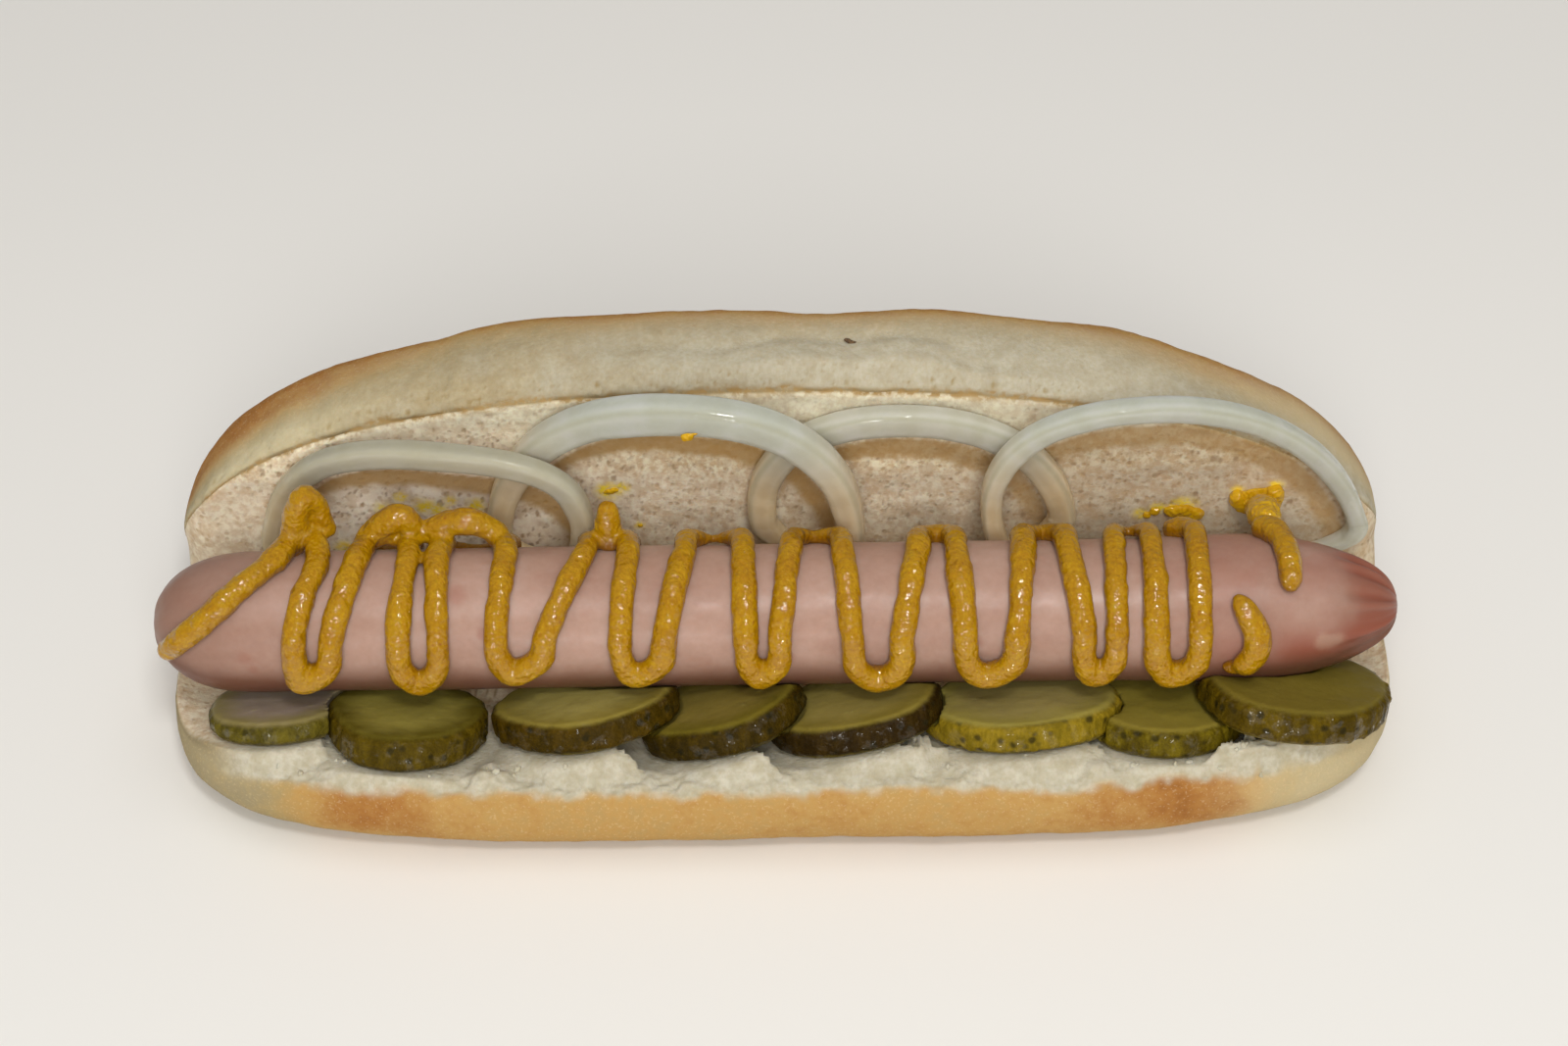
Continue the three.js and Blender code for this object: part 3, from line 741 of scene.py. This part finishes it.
def bun_baking(points, place, zone):
    """How brown the crust is at the front, the back, the rim and below, and where it stays pale, with painted
    light making the right end paler still.
    """
    px, lump = zone.px, zone.lump
    front = np.where(place >= FRONT_START, 1.0, 1 - ease(place, 1.0, 1.4))
    upper = np.where(place >= FRONT_START, ease(place, 28.5, 29.5), 1.0)
    scorch = 0.8 * hill(px, -72, 20) + 1.15 * hill(px, 64, 16)
    scorch *= (0.8 + 0.5 * layered_noise(points, 11, 35)) * upper
    baked = front * (0.44 + 0.32 * scorch) * (1 - ease(np.abs(px + 1.5 * lump), 70, 88))
    back = between(place, 15.9, 17.6, BOTTOM_START, FRONT_START - 0.5)
    baked += back * (0.72 + 0.15 * lump)
    along_rim = ease(np.abs(px), 45, 90)
    rim = ease(place, 15.3 - 0.7 * along_rim, 16.7 - 0.5 * along_rim) * (1 - back) * (place < BOTTOM_START)
    baked += (0.3 + 0.4 * along_rim * np.where(px < 0, 1.0, 0.75)) * rim
    baked += 0.35 * between(place, BOTTOM_START, 25, 27, FRONT_START)
    # Cream on the unbaked ends; at the right end it is also painted light on skin that faces down, away from
    # the lamps
    cream = 0.75 * ease(px + 3 * lump, 64, 88) * (1 - back) + 0.28 * ease(3 * lump - px, 74, 92) * front
    return {"baked": np.clip(baked, 0, 1), "cream": np.clip(cream, 0, 1),
            "pale_end": 0.5 * zone.band * hill(px, -84, 16) * (1 - rim)}


def crumb_marks(points, zone):
    """Where the crumb is damp and in painted shade, brightened or darkened by painted light and shade, in a
    ring's shade or stained, and how far its pores show.
    """
    px, wall, fluff = zone.px, zone.wall, zone.fluff
    high = wall * ease(points[:, 2], 44, 57)
    shade = wall * ring_shade(points) * (1 - 0.25 * ease(px, 0, 50))
    crisp = 1.15 - 0.3 * ease(px, -44, -20) - 0.8 * ease(-px, 80, 92)
    seen = (zone.crumb * crisp * (1 - 0.45 * high) + 0.6 * zone.near_cut) * (1 - 0.6 * shade)
    stain = np.zeros(len(points))
    for x, up, reach in STAINS:
        spread = np.hypot(px - MIDDLE_X - x, height_up_wall(points) - up) / reach
        stain = np.maximum(stain, wall * (1 - ease(spread + 0.3 * fluff, 0.2, 1.1)))
    # Painted shade: the crumb is darkened towards the right
    return {"high": high, "shade": shade, "stain": stain, "dull": 0.3 * wall * ease(px, 20, 50),
            # Greyer low on the wall by the sausage: damp grease, with painted shade where the sausage keeps
            # the light off
            "damp": zone.crumb * (1 - ease(points[:, 2] + 1.5 * fluff, 39, 44)),
            # Painted light: the crumb behind the first ring is made paler, standing in for light that the
            # ring and mustard keep off it
            "bright": 0.75 * wall * (1 - high) * hill(px, -56, 24),
            "pore": np.maximum(zone.big, 0.75 * zone.small) * seen}


def make_bun(material):
    grid, normals, rows = bun_grid()
    place = np.tile(rows, len(grid))
    smooth = grid.reshape(-1, 3)
    zone = bun_zones(smooth, place)
    points = smooth + normals.reshape(-1, 3) * bun_relief(smooth, place, zone)[:, None]
    lying = between(place, 0.9, 1.5, 6.3, 7.0)
    points[:, 2] += lying * (press_pickles(points, points[:, 2]) - points[:, 2])
    points[:, 2] = np.maximum(points[:, 2], 0)
    piece = new_piece("bun_bread", points, tube_faces(*grid.shape[:2]), material)
    paint(piece, crumb=zone.crumb, torn=np.clip(zone.torn, 0, 1), band=zone.band,
          # The line layer carries the cut line and painted shade on the lip below it
          line=np.clip(zone.line * 1.1 + zone.lip, 0, 1), warm=1 - ease(zone.px, -62, 24) + 0.3 * zone.lump,
          **bun_baking(points, place, zone), **crumb_marks(points, zone))
    return dress(piece, "bread", "bun")


CRUMB_COUNT = 24
CRUMB_FRONT, CRUMB_BACK = -32.2, -27.0    # the strip that loose crumbs lie on
CRUMB_REACH, CRUMB_LOWEST = 80, 11        # how far along it they lie, and above which height
FLECK_X = 12.2                            # a burnt fleck on the side band of the upper half
FLECK_SPAN = (5.5, 9.5)                   # how far behind the cut it may lie


def small_lump(middle, size, turns):
    """Points and faces of an uneven crumb."""
    points, faces = lump(middle, size, turns[0] * math.pi, turns[1] * math.pi)
    return points + 0.5 * min(size) * smooth_noise(points, 0.5, 57)[:, None], faces


def make_crumbs(bun, bread):
    """Loose crumbs on the torn strip, at places drawn from a fixed sequence."""
    draw = np.random.default_rng(7)
    surface = points_of(bun)
    across, up = surface[:, 1], surface[:, 2]
    strip = surface[(across > CRUMB_FRONT) & (across < CRUMB_BACK) & (up > CRUMB_LOWEST)
                    & (np.abs(surface[:, 0]) < CRUMB_REACH)]
    shapes = []
    for spot in strip[draw.integers(0, len(strip), CRUMB_COUNT)]:
        size = draw.uniform(0.3, 0.65) * draw.uniform(0.6, 1.5, 3)
        shapes.append(small_lump(spot - (0, 0, 0.12), size, draw.uniform(0, 1, 2)))
    piece = new_piece("bread_crumbs", *gather(shapes), bread)
    paint(piece, torn=np.ones(len(piece.data.vertices)))
    return dress(piece, "bread")


def make_fleck(bun):
    look = Look("burnt_fleck", Roughness=0.8)
    look.set("Base Color", look.mix(look.fade(look.noise(0.4, 2), 0.4, 0.6), "#4a3520", "#6a4f30"))
    surface = points_of(bun)
    cut_y = surface[surface[:, 2] > 55][:, 1].min()
    behind = surface[:, 1] - cut_y
    near = (np.abs(surface[:, 0] - FLECK_X) < 1) & (behind > FLECK_SPAN[0]) & (behind < FLECK_SPAN[1])
    spot = surface[near & (surface[:, 2] > 50)].mean(axis=0)
    points, faces = small_lump(spot + (0, 0, 0.1), (1.1, 0.35, 0.3), (0.08, 0.0))
    return dress(new_piece("burnt_fleck", points, faces, look.material), "bread")


# ---- sausage and mustard
def from_axis(points):
    """The way to each point from the sausage's axis, straight out."""
    return (points - (0, AXIS_Y, AXIS_Z)) * (0, 1, 1)


def sausage_radius(x):
    from_left = (x + SAUSAGE_LENGTH / 2) / BLUNT_END
    from_right = (SAUSAGE_LENGTH / 2 - x) / LONG_END
    left = superellipse(1 - np.clip(from_left, 0, 1), 2.3)
    right = superellipse(1 - np.clip(from_right, 0, 1), 2.15)
    return (SAUSAGE_RADIUS + BULGE_SIZE * hill(x, BULGE_X, BULGE_SPREAD)) * left * right


SAUSAGE_STATIONS, SAUSAGE_SIDES = 330, 112
# Red spots on the skin: x, degrees round from the top, and reach
RED_SPOTS = [(-85.6, 79, 1.5), (-84.4, 91, 1.1), (-52.0, 30, 2.0), (-47.5, 62, 1.2), (0.6, 86, 1.1),
             (30.4, 74, 1.0)]


def make_sausage(material):
    sweep = np.linspace(-1, 1, SAUSAGE_STATIONS)
    x = (0.55 * np.sin(sweep * math.pi / 2) + 0.45 * sweep) * (SAUSAGE_LENGTH / 2 - 0.02)
    turn = circle(SAUSAGE_SIDES)
    along, round_it = np.meshgrid(x, turn, indexing="ij")
    radius = sausage_radius(along)
    tip = np.clip(1 - (SAUSAGE_LENGTH / 2 - along) / 11, 0, 1)
    folds = np.cos(13 * round_it + 1.3 * np.sin(2 * round_it)) + 0.5 * np.cos(21 * round_it + 1)
    radius *= 1 + 0.085 * tip * folds
    start = np.clip(1 - (SAUSAGE_LENGTH / 2 + along) / 6, 0, 1)
    radius *= 1 + 0.04 * start * np.cos(7 * round_it)
    spots = np.stack([along, AXIS_Y - radius * np.sin(round_it), AXIS_Z + radius * np.cos(round_it)], axis=-1)
    points = spots.reshape(-1, 3)
    waves = 0.16 * layered_noise(points * (0.5, 1, 1), 9, 61)
    waves += 0.03 * smooth_noise(points * (0.3, 1, 1), 1.6, 64)
    points = points + unit(from_axis(points)) * (waves * np.minimum(radius.ravel() / 6, 1))[:, None]
    points[:, 0] += SAUSAGE_CENTRE_X + MIDDLE_X
    piece = new_piece("sausage_body", points, tube_faces(len(x), len(turn)), material)
    px = points[:, 0]
    cloud = layered_noise(points, 7, 71)
    low = np.degrees(round_it.ravel())
    low = np.minimum(low, 360 - low)
    red = 0.55 * ease(px + 1.5 * cloud, 87.5, 92.5) + 0.42 * ease(px, 50, 82) * (0.6 + 1.0 * cloud)
    # Red deepens in the folds of the tip: the knot's own colour, with painted shade in its creases
    red += 0.5 * tip.ravel() * np.clip(-folds.ravel(), 0, 1) + 0.5 * ease(px, 60, 82) * ease(low, 58, 100)
    red += 0.12 * hill(px, 88, 8) * ease(low, 50, 78)
    for x, turned, reach in RED_SPOTS:
        away = np.hypot(px - MIDDLE_X - x, (low - turned) * 0.2) / reach
        red += 0.3 * (1 - ease(away + 0.4 * cloud, 0.4, 1.2))
    flake = hill(px, 88.0, 4.6) * hill(low, 82, 11) + 0.55 * layered_noise(points, 2.6, 73)
    pale = 0.3 * ease(cloud, 0.2, 0.6) * hill(px, 80, 9) + 0.38 * ease(flake, 0.45, 0.95)
    # Painted shade: darker towards the underside, where the skin is also wet, and darker towards both ends
    under = 0.9 * ease(low + 6 * cloud, 82, 116) + 0.45 * (1 - ease(px, -99, -84))
    under += 0.25 * hill(px, -86, 8) + 0.18 * ease(px, 58, 76) + 0.25 * ease(px, 84, 92)
    paint(piece, red=np.clip(red, 0, 0.9), pale=np.clip(pale, 0, 1), under=np.clip(under, 0, 1))
    return dress(piece, "sausage_skin", "sausage")


def on_sausage(x, degrees, lift=MUSTARD_LIFT):
    reach = sausage_radius(np.array(x - SAUSAGE_CENTRE_X)) + lift
    turn = math.radians(degrees)
    return (x + MIDDLE_X, AXIS_Y - reach * math.sin(turn), AXIS_Z + reach * math.cos(turn))


PILE_ROWS = 3          # the first loops turn out of sight behind their piles
BACK_SIZES = [0.3, 0.52, 0.85, 0.62, 0.4, 1.0]    # how thick the back turn of each later loop is
STROKE_SIZES = [[0.7, 1.0, 1.15, 1.05, 0.95], [1.3, 1.2, 1.05, 1.0, 0.8]]


def zigzag_path():
    """Points of the zigzag, and how thick it is at each."""
    stops = [((-99.2, 88), 0.85), ((-95.4, 62), 1), ((-91.4, 47), 1), ((-86.4, 26), 1), ((-81.4, 3), 1.05),
             ((FIRST_PEAK_X, BACK_TURN + 3, 0.5 * FIRST_PEAK_LIFT), 0.9)]
    for row, (down_top, down_low, front, up_low, up_top, back, turn) in enumerate(ZIGZAG):
        if 0 < row <= PILE_ROWS:
            stops.append(((down_top, -48, 0.4), 0.8))
        if row:
            stops.append(((0.88 * down_top + 0.12 * ZIGZAG[row - 1][5], -26, 1.2), 0.98))
        stops += [((down_top, CREST), 1), (((down_top + down_low) / 2, SHOULDER), 1), ((down_low, LOW), 1),
                  ((0.84 * down_low + 0.16 * front, turn - TURN_IN), 1.08), ((front, turn), 1.12),
                  ((0.16 * front + 0.84 * up_low, turn - TURN_IN), 1.08), ((up_low, LOW), 1),
                  (((up_low + up_top) / 2, SHOULDER), 1), ((up_top, CREST), 1)]
        stops.append(((0.88 * up_top + 0.12 * back, -26, 1.2), 0.98))
        if row < PILE_ROWS:
            stops += [((up_top, -48, 0.4), 0.8), ((back, -64, 0.4), 0.7)]
        else:
            stops.append(((back, -38, 1.0), BACK_SIZES[row - PILE_ROWS]))
    stops.append(((back - 2.4, -36, 1.2), 0.85))
    return [on_sausage(*stop) for stop, _ in stops], [size for _, size in stops]


BEAD_STEP, BEAD_SIDES = 0.6, 14


def bead(path, radius, seed, sizes, taper=2.6):
    """Points and faces of a bead of paste along a path, a little flattened and uneven."""
    places = np.linspace(0, len(path) - 1, 60 * len(path))
    line = catmull_rom(path, places, closed=False)
    steps = np.concatenate([[0], np.cumsum(np.linalg.norm(np.diff(line, axis=0), axis=1))])
    run = np.arange(0, steps[-1], BEAD_STEP)
    line = np.stack([np.interp(run, steps, line[:, axis]) for axis in range(3)], axis=1)
    sized = np.interp(np.interp(run, steps, places), np.arange(len(path)), sizes)
    ahead = unit(np.gradient(line, axis=0))
    side = unit(np.cross(ahead, from_axis(line)))
    up = np.cross(side, ahead)
    along = np.stack([run, np.zeros_like(run), np.zeros_like(run)], axis=1)
    swell = sized * (1 + 0.09 * smooth_noise(along, 7, seed) + 0.06 * smooth_noise(along, 2.2, seed + 1))
    from_end = np.minimum(run, steps[-1] - run)
    swell *= np.sqrt(1 - np.clip(1 - (from_end + 0.15) / taper, 0, 1) ** 2)
    turn = circle(BEAD_SIDES)[:, None]
    ring = 1.03 * np.cos(turn) * side[:, None] + 0.97 * np.sin(turn) * up[:, None]
    points = line[:, None] + radius * swell[:, None, None] * ring
    return points.reshape(-1, 3), tube_faces(len(line), BEAD_SIDES)


def lump(middle, sizes, spin=0.0, leaning=0.0):
    """Points and faces of a rounded lump, turned in the upright plane and leaning back."""
    rings, sides = 9, 14
    points = []
    for ring in range(1, rings):
        high = math.pi * ring / rings
        for side in range(sides):
            round_it = 2 * math.pi * side / sides
            points.append((sizes[0] * math.sin(high) * math.cos(round_it),
                           sizes[1] * math.sin(high) * math.sin(round_it), sizes[2] * math.cos(high)))
    turn = Matrix.Rotation(leaning, 3, "X") @ Matrix.Rotation(spin, 3, "Y")
    points = np.array(points) @ np.array(turn).T + np.array(middle)
    return points, [tuple(reversed(face)) for face in tube_faces(rings - 1, sides)]


def on_wall(x, up, off):
    """A place on the crumb of the upper half: x, height up it and distance off it."""
    return (x, AXIS_Y + HINGE_Y + up * math.cos(LEAN) - off * math.sin(LEAN),
            AXIS_Z + HINGE_Z + up * math.sin(LEAN) + off * math.cos(LEAN))


def gather(shapes):
    """Several sets of points and faces as one."""
    points, faces, count = [], [], 0
    for more_points, more_faces in shapes:
        points.append(more_points)
        faces += [tuple(count + corner for corner in face) for face in more_faces]
        count += len(more_points)
    return np.concatenate(points), faces


MUSTARD_VOXEL, SMEAR_VOXEL = 0.376, 0.2
# Strands of paste piled up behind the crest: places, and how thick they are there
PILES = [
    [(-78.4, -3.6, 38.6, 0.95), (-77.0, -3.0, 42.4, 1.15), (-76.2, -2.8, 47.2, 1.1), (-74.6, -2.4, 50.4, 1.0),
     (-73.0, -1.8, 48.4, 0.85), (-72.4, -1.6, 44.8, 0.8), (-71.6, -1.9, 41.4, 0.9)],
    [(-66.9, -3.4, 40.6, 0.95), (-65.2, -2.4, 41.8, 1.05), (-63.4, -2.0, 43.2, 1.2),
     (-61.0, -2.0, 45.0, 1.25), (-59.4, -2.0, 45.4, 1.05), (-58.5, -2.0, 43.6, 0.95),
     (-58.2, -2.4, 41.2, 0.85)],
    [(-64.6, -1.7, 39.4, 0.9), (-62.4, -1.5, 41.8, 1.05), (-60.2, -1.7, 39.6, 0.9)],
    [(-55.4, -3.0, 40.8, 0.95), (-55.9, -2.2, 42.2, 0.95), (-54.0, -2.0, 43.2, 1.05),
     (-51.6, -2.0, 44.0, 1.15), (-48.9, -2.0, 44.1, 1.1), (-46.7, -2.0, 43.2, 1.0),
     (-44.8, -2.2, 41.8, 1.0), (-44.1, -3.0, 39.6, 0.95)],
    [(-26.8, -2.0, 47.6, 0.95), (-26.9, -2.0, 44.6, 1.05), (-26.9, -2.4, 41.2, 1.15),
     (-26.8, -3.4, 38.8, 1.2)],
]


def make_mustard(material):
    path, sizes = zigzag_path()
    shapes = [bead(path, MUSTARD_RADIUS, 81, sizes)]
    for number, stroke in enumerate(SHORT_STROKES):
        places = [on_sausage(x, turn) for x, turn in stroke]
        shapes.append(bead(places, MUSTARD_RADIUS, 90 + number, STROKE_SIZES[number]))
    shapes.append(lump(on_sausage(71.6, 98, 0.6), (2.8, 1.3, 1.3)))
    for number, pile in enumerate(PILES):
        shapes.append(bead([place[:3] for place in pile], MUSTARD_RADIUS, 84 + number,
                           [place[3] for place in pile], 1.8))
    piece = new_piece("mustard_zigzag", *gather(shapes), material)
    fuse(piece, MUSTARD_VOXEL, 3)
    points = points_of(piece)
    push_out(piece, points, 0.15 * smooth_noise(points, 2.4, 101) + 0.08 * smooth_noise(points, 1.2, 102))
    off_axis = np.hypot(points[:, 1] - AXIS_Y, points[:, 2] - AXIS_Z)
    off_skin = off_axis - sausage_radius(points[:, 0] - MIDDLE_X - SAUSAGE_CENTRE_X)
    # Darker paste close to the sausage's skin, where it is thin, with painted contact shade
    paint(piece, edge=1 - ease(off_skin, 0.8, 2.9))
    return dress(piece, "mustard", "sausage")


# Smears on the crumb and on a ring: x, height up the wall, distance off it, and half sizes
SMEARS = [
    (-28.6, 20.3, 0.0, 1.5, 0.4, 0.6), (-24.2, 11.6, 0.0, 0.6, 0.4, 0.5),
    (-15.0, 43.2, 8.5, 1.1, 0.5, 1.1), (-13.6, 44.2, 8.5, 1.4, 0.3, 0.35), (-12.2, 43.4, 8.5, 0.5, 0.3, 0.3),
    (60.9, 13.6, 0.1, 0.9, 0.5, 1.1), (59.6, 12.4, 0.1, 0.6, 0.4, 0.7),
    (65.0, 13.4, 0.3, 2.9, 0.9, 1.6), (67.4, 12.8, 0.3, 1.8, 0.9, 1.5), (77.2, 16.9, 0.2, 3.2, 0.9, 1.9),
]
# A thick smear with two prongs on the crumb: x and height up the wall, and how thick it is there
PRONGS = [(73.9, 18.4, 0.8), (74.2, 16.6, 1.0), (75.6, 15.3, 1.0), (77.7, 14.9, 1.1), (79.5, 15.4, 1.1),
          (80.2, 17.6, 1.0), (79.9, 19.8, 0.8)]


def make_smears(material):
    shapes = []
    for number, (x, up, off, width, thick, high) in enumerate(SMEARS):
        spin = 0.3 * (number % 3 - 1)
        shapes.append(lump(on_wall(x + MIDDLE_X, up, off), (width, thick, high), spin, LEAN - math.pi / 2))
    prongs = [on_wall(x + MIDDLE_X, up, 0.6) for x, up, _ in PRONGS]
    shapes.append(bead(prongs, 1.5, 95, [size for _, _, size in PRONGS], 1.2))
    bridge = [on_wall(78.9, 14.6, 0.8), (78.8, 8.4, 35.4), (78.4, 3.0, 38.6), (78.6, -1.0, 40.2)]
    shapes.append(bead(bridge, 2.3, 96, [1.0, 1.1, 1.1, 0.9], 1.4))
    piece = new_piece("mustard_smears", *gather(shapes), material)
    fuse(piece, SMEAR_VOXEL, 2)
    points = points_of(piece)
    push_out(piece, points, 0.22 * smooth_noise(points, 1.3, 111) + 0.1 * smooth_noise(points, 0.5, 112))
    return dress(piece, "mustard")


# ---- pickle slices
# Each slice's flesh in the middle and by the rind, and its rind and the streaks on it
PICKLE_COLOURS = [
    ("#948473", "#837749", "#453c0e", "#695d1b"),
    ("#8d813b", "#594e16", "#423405", "#5b4a0c"),
    ("#9d904e", "#847532", "#372904", "#4e3a07"),
    ("#827133", "#6b5e1d", "#2f2304", "#473607"),
    ("#928243", "#7a6b2b", "#281b05", "#382808"),
    ("#95864e", "#8e813c", "#6d5b0f", "#90781b"),
    ("#88792f", "#7f702b", "#483b07", "#6f5f10"),
    ("#756626", "#6f6022", "#433405", "#604d08"),
]
RIND = 0.94            # share of the outline where the rind starts
PICKLE_VOXEL = 0.38


def make_pickle(index):
    node = f"pickle_slice_{index + 1}"
    piece = add_object(f"pickle_{index + 1}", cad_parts[node].data.copy())
    fuse(piece, PICKLE_VOXEL, 3)
    piece.data.materials.clear()
    piece.data.materials.append(pickle_look(f"pickle_{index + 1}", *PICKLE_COLOURS[index]))
    points = points_of(piece)
    local, reach = in_pickle(points, index)
    rim = ease(reach, RIND - 0.03, RIND + 0.03)
    turn = np.arctan2(local[:, 1], local[:, 0])
    side = rim * (1 - ease(local[:, 2], -0.5, 0.0))
    warts = pits(local * (1, 1, 0.8), 2.4, 0.5, 120 + index, 0.2, 0.4)
    ridges = np.cos(turn * 26 + 2 * np.sin(3 * turn + index))
    flesh = layered_noise(local * (1, 1, 0.3), 5, 131 + index)
    rise = side * (0.3 * warts + 0.06 * ridges + 0.3 * layered_noise(local * (1, 1, 0.5), 5, 140 + index))
    rise += (1 - side) * 0.22 * flesh
    spokes = np.column_stack([turn * 4.2, reach * 5.2, np.full(len(turn), float(index))])
    seeds = pits(spokes, 1.0, 0.75, 150, 0.22, 0.42)
    seeds *= hill(reach, 0.5, 0.2) * (local[:, 2] > -1.2)
    rise += 0.15 * seeds
    push_out(piece, points, rise)
    paint(piece, rind=side, rim=ease(reach, 0.45, RIND), seed=ease(seeds, 0.2, 0.8))
    return dress(piece, "pickle", node)


# ---- onion rings
RING_STATIONS, RING_SIDES = 380, 36


def make_onion(index, material):
    x, up, half, rise, drop, skew, power, wall, high, wedge, yaw = ONIONS[index]
    turn = circle(RING_STATIONS)
    across = signed_power(np.cos(turn), 2 / power)
    raised = signed_power(np.sin(turn), 2 / power)
    lean = skew * np.where(raised > 0, raised, 0.5 * raised)
    edge = np.stack([half * across + lean, np.where(raised > 0, rise, drop) * raised], axis=1)
    round_it = circle(RING_SIDES)
    in_share = 0.5 + 0.5 * signed_power(np.cos(round_it), 0.5)
    high_share = 0.5 + 0.5 * signed_power(np.sin(round_it), 0.5)
    bow = 0.2 * (1 - (2 * high_share - 1) ** 2)
    lines = np.stack([turn * 3, turn * 0, turn * 0 + index], axis=1)
    wall_here = wall * (1 + 0.06 * smooth_noise(lines, 1.3, 160)) + 0.12 * smooth_noise(lines, 0.5, 161)
    wall_here = wall_here + RING_EXTRA[index] * np.clip(np.sin(turn), 0, 1)
    inset = in_share * wall_here[:, None] + bow * (1 - 2 * in_share) * -0.6
    length = np.linalg.norm(edge, axis=1)
    spot = edge[:, None, :] * (1 - inset / length[:, None])[..., None]
    height = high_share * (high + wedge * np.sin(turn))[:, None]
    height = height + 0.12 * smooth_noise(lines, 0.8, 162)[:, None] * high_share
    angle = math.radians(yaw)
    swing = half * abs(math.sin(angle))
    flat = x + MIDDLE_X + spot[..., 0] * math.cos(angle) - height * math.sin(angle)
    off = WALL_GAP + swing + spot[..., 0] * math.sin(angle) + height * math.cos(angle)
    tall = up + spot[..., 1]
    points = np.stack(on_wall(flat, tall, off), axis=-1).reshape(-1, 3)
    faces = tube_faces(RING_STATIONS, RING_SIDES, closed=True)
    piece = new_piece(f"onion_{index + 1}", points, faces, material)
    strand = 0.5 + 0.3 * np.sin(in_share * 15 + high_share * 11)
    strand = strand + 0.3 * smooth_noise(lines, 0.25, 165)[:, None]
    # Painted beige on the thin sides and bottom, for the crumb seen through the ring; some rings' tops are
    # beige of their own
    beige = ease(0.95 - np.sin(turn), 0.0, 0.8) * (1 + (RING_RIGHT[index] - 1) * ease(np.cos(turn), 0.0, 0.5))
    deep = np.maximum(beige, RING_WARMTH[index])
    # Greyer all round by each ring's own tone, with painted shade on the outer side that faces up
    dull = RING_DULLNESS[index] * (0.7 + 0.35 * hill(round_it, math.pi, 1.0))
    # Painted shade on the front-outer corner, which catches the most light
    corner = np.maximum(0.62 * hill(round_it, 0.75 * math.pi, 0.5), dull)
    paint(piece, strand=np.clip(strand, 0, 1).ravel(), deep=np.repeat(deep, RING_SIDES),
          corner=np.tile(corner, RING_STATIONS))
    return dress(piece, "onion", f"onion_ring_{index + 1}")


# ---- stage
CAMERA_TURN, CAMERA_DOWN, CAMERA_ROLL = math.radians(-1), math.radians(40), math.radians(-1.5)
CAMERA_AWAY, CAMERA_WIDTH = 0.608, math.radians(24)
CAMERA_TARGET = Vector((0.0009, 0.0133, 0.030))


def make_camera():
    level = math.cos(CAMERA_DOWN)
    ahead = Vector((math.sin(CAMERA_TURN) * level, math.cos(CAMERA_TURN) * level, -math.sin(CAMERA_DOWN)))
    right = Vector((math.cos(CAMERA_TURN), -math.sin(CAMERA_TURN), 0))
    up = right.cross(ahead)
    rolled_right = math.cos(CAMERA_ROLL) * right + math.sin(CAMERA_ROLL) * up
    rolled_up = math.cos(CAMERA_ROLL) * up - math.sin(CAMERA_ROLL) * right
    data = bpy.data.cameras.new("camera")
    data.angle = CAMERA_WIDTH
    data.clip_start, data.clip_end = 0.01, 20
    camera = add_object("camera", data)
    axes = Matrix((rolled_right, rolled_up, -ahead)).transposed()
    camera.matrix_world = Matrix.Translation(CAMERA_TARGET - CAMERA_AWAY * ahead) @ axes.to_4x4()
    bpy.context.scene.camera = camera


def make_light(name, turn, high, away, size, watts, glossy=True, diffuse=True):
    """A square soft light that faces the food. turn is from the front, right side positive."""
    turn, high = math.radians(turn), math.radians(high)
    data = bpy.data.lights.new(name, "AREA")
    data.size = size
    data.energy = watts
    light = add_object(name, data)
    light.visible_glossy = glossy
    light.visible_diffuse = diffuse
    light.visible_camera = False
    toward = Vector((math.sin(turn) * math.cos(high), -math.cos(turn) * math.cos(high), math.sin(high)))
    light.location = CAMERA_TARGET + away * toward
    light.rotation_euler = (-toward).to_track_quat("-Z", "Y").to_euler()


FLOOR_REACH, FLOOR_TOP = 3000, -0.05


def make_floor():
    look = Look("floor", Roughness=0.7)
    look.set("Base Color", "#efece6")
    corners = [(x * FLOOR_REACH, y * FLOOR_REACH, FLOOR_TOP) for x, y in ((-1, -1), (1, -1), (1, 1), (-1, 1))]
    new_piece("floor", corners, [(0, 1, 2, 3)], look.material, smooth=False)


def make_world():
    world = bpy.data.worlds.new("studio")
    world.use_nodes = True
    background = world.node_tree.nodes["Background"]
    background.inputs["Color"].default_value = (1.0, 0.98, 0.95, 1)
    background.inputs["Strength"].default_value = 0.28
    bpy.context.scene.world = world


make_camera()
make_floor()
make_world()
make_light("key", 10, 55, 1.1, 0.15, 3.2)
make_light("high_glint", 6, 58, 1.1, 0.1, 3, diffuse=False)
make_light("low_glint", -5, 6, 1.1, 0.1, 2.2, diffuse=False)
make_light("front", 2, 35, 1.8, 0.7, 17.4, glossy=False)
make_light("top", 4, 80, 1.4, 1.1, 4, glossy=False)
bpy.context.scene.view_settings.view_transform = "Standard"

bread = bread_look()
mustard = mustard_look("mustard", "#986802", "#a57702", "#b08604")
onion = onion_look()
bun = make_bun(bread)
make_crumbs(bun, bread)
make_fleck(bun)
make_sausage(sausage_look())
make_mustard(mustard)
make_smears(mustard_look("mustard_thin", "#b7850b", "#cb9b0f", "#dbae18"))
for number in range(len(PICKLES)):
    make_pickle(number)
for number in range(len(ONIONS)):
    make_onion(number, onion)

bpy.context.view_layer.update()
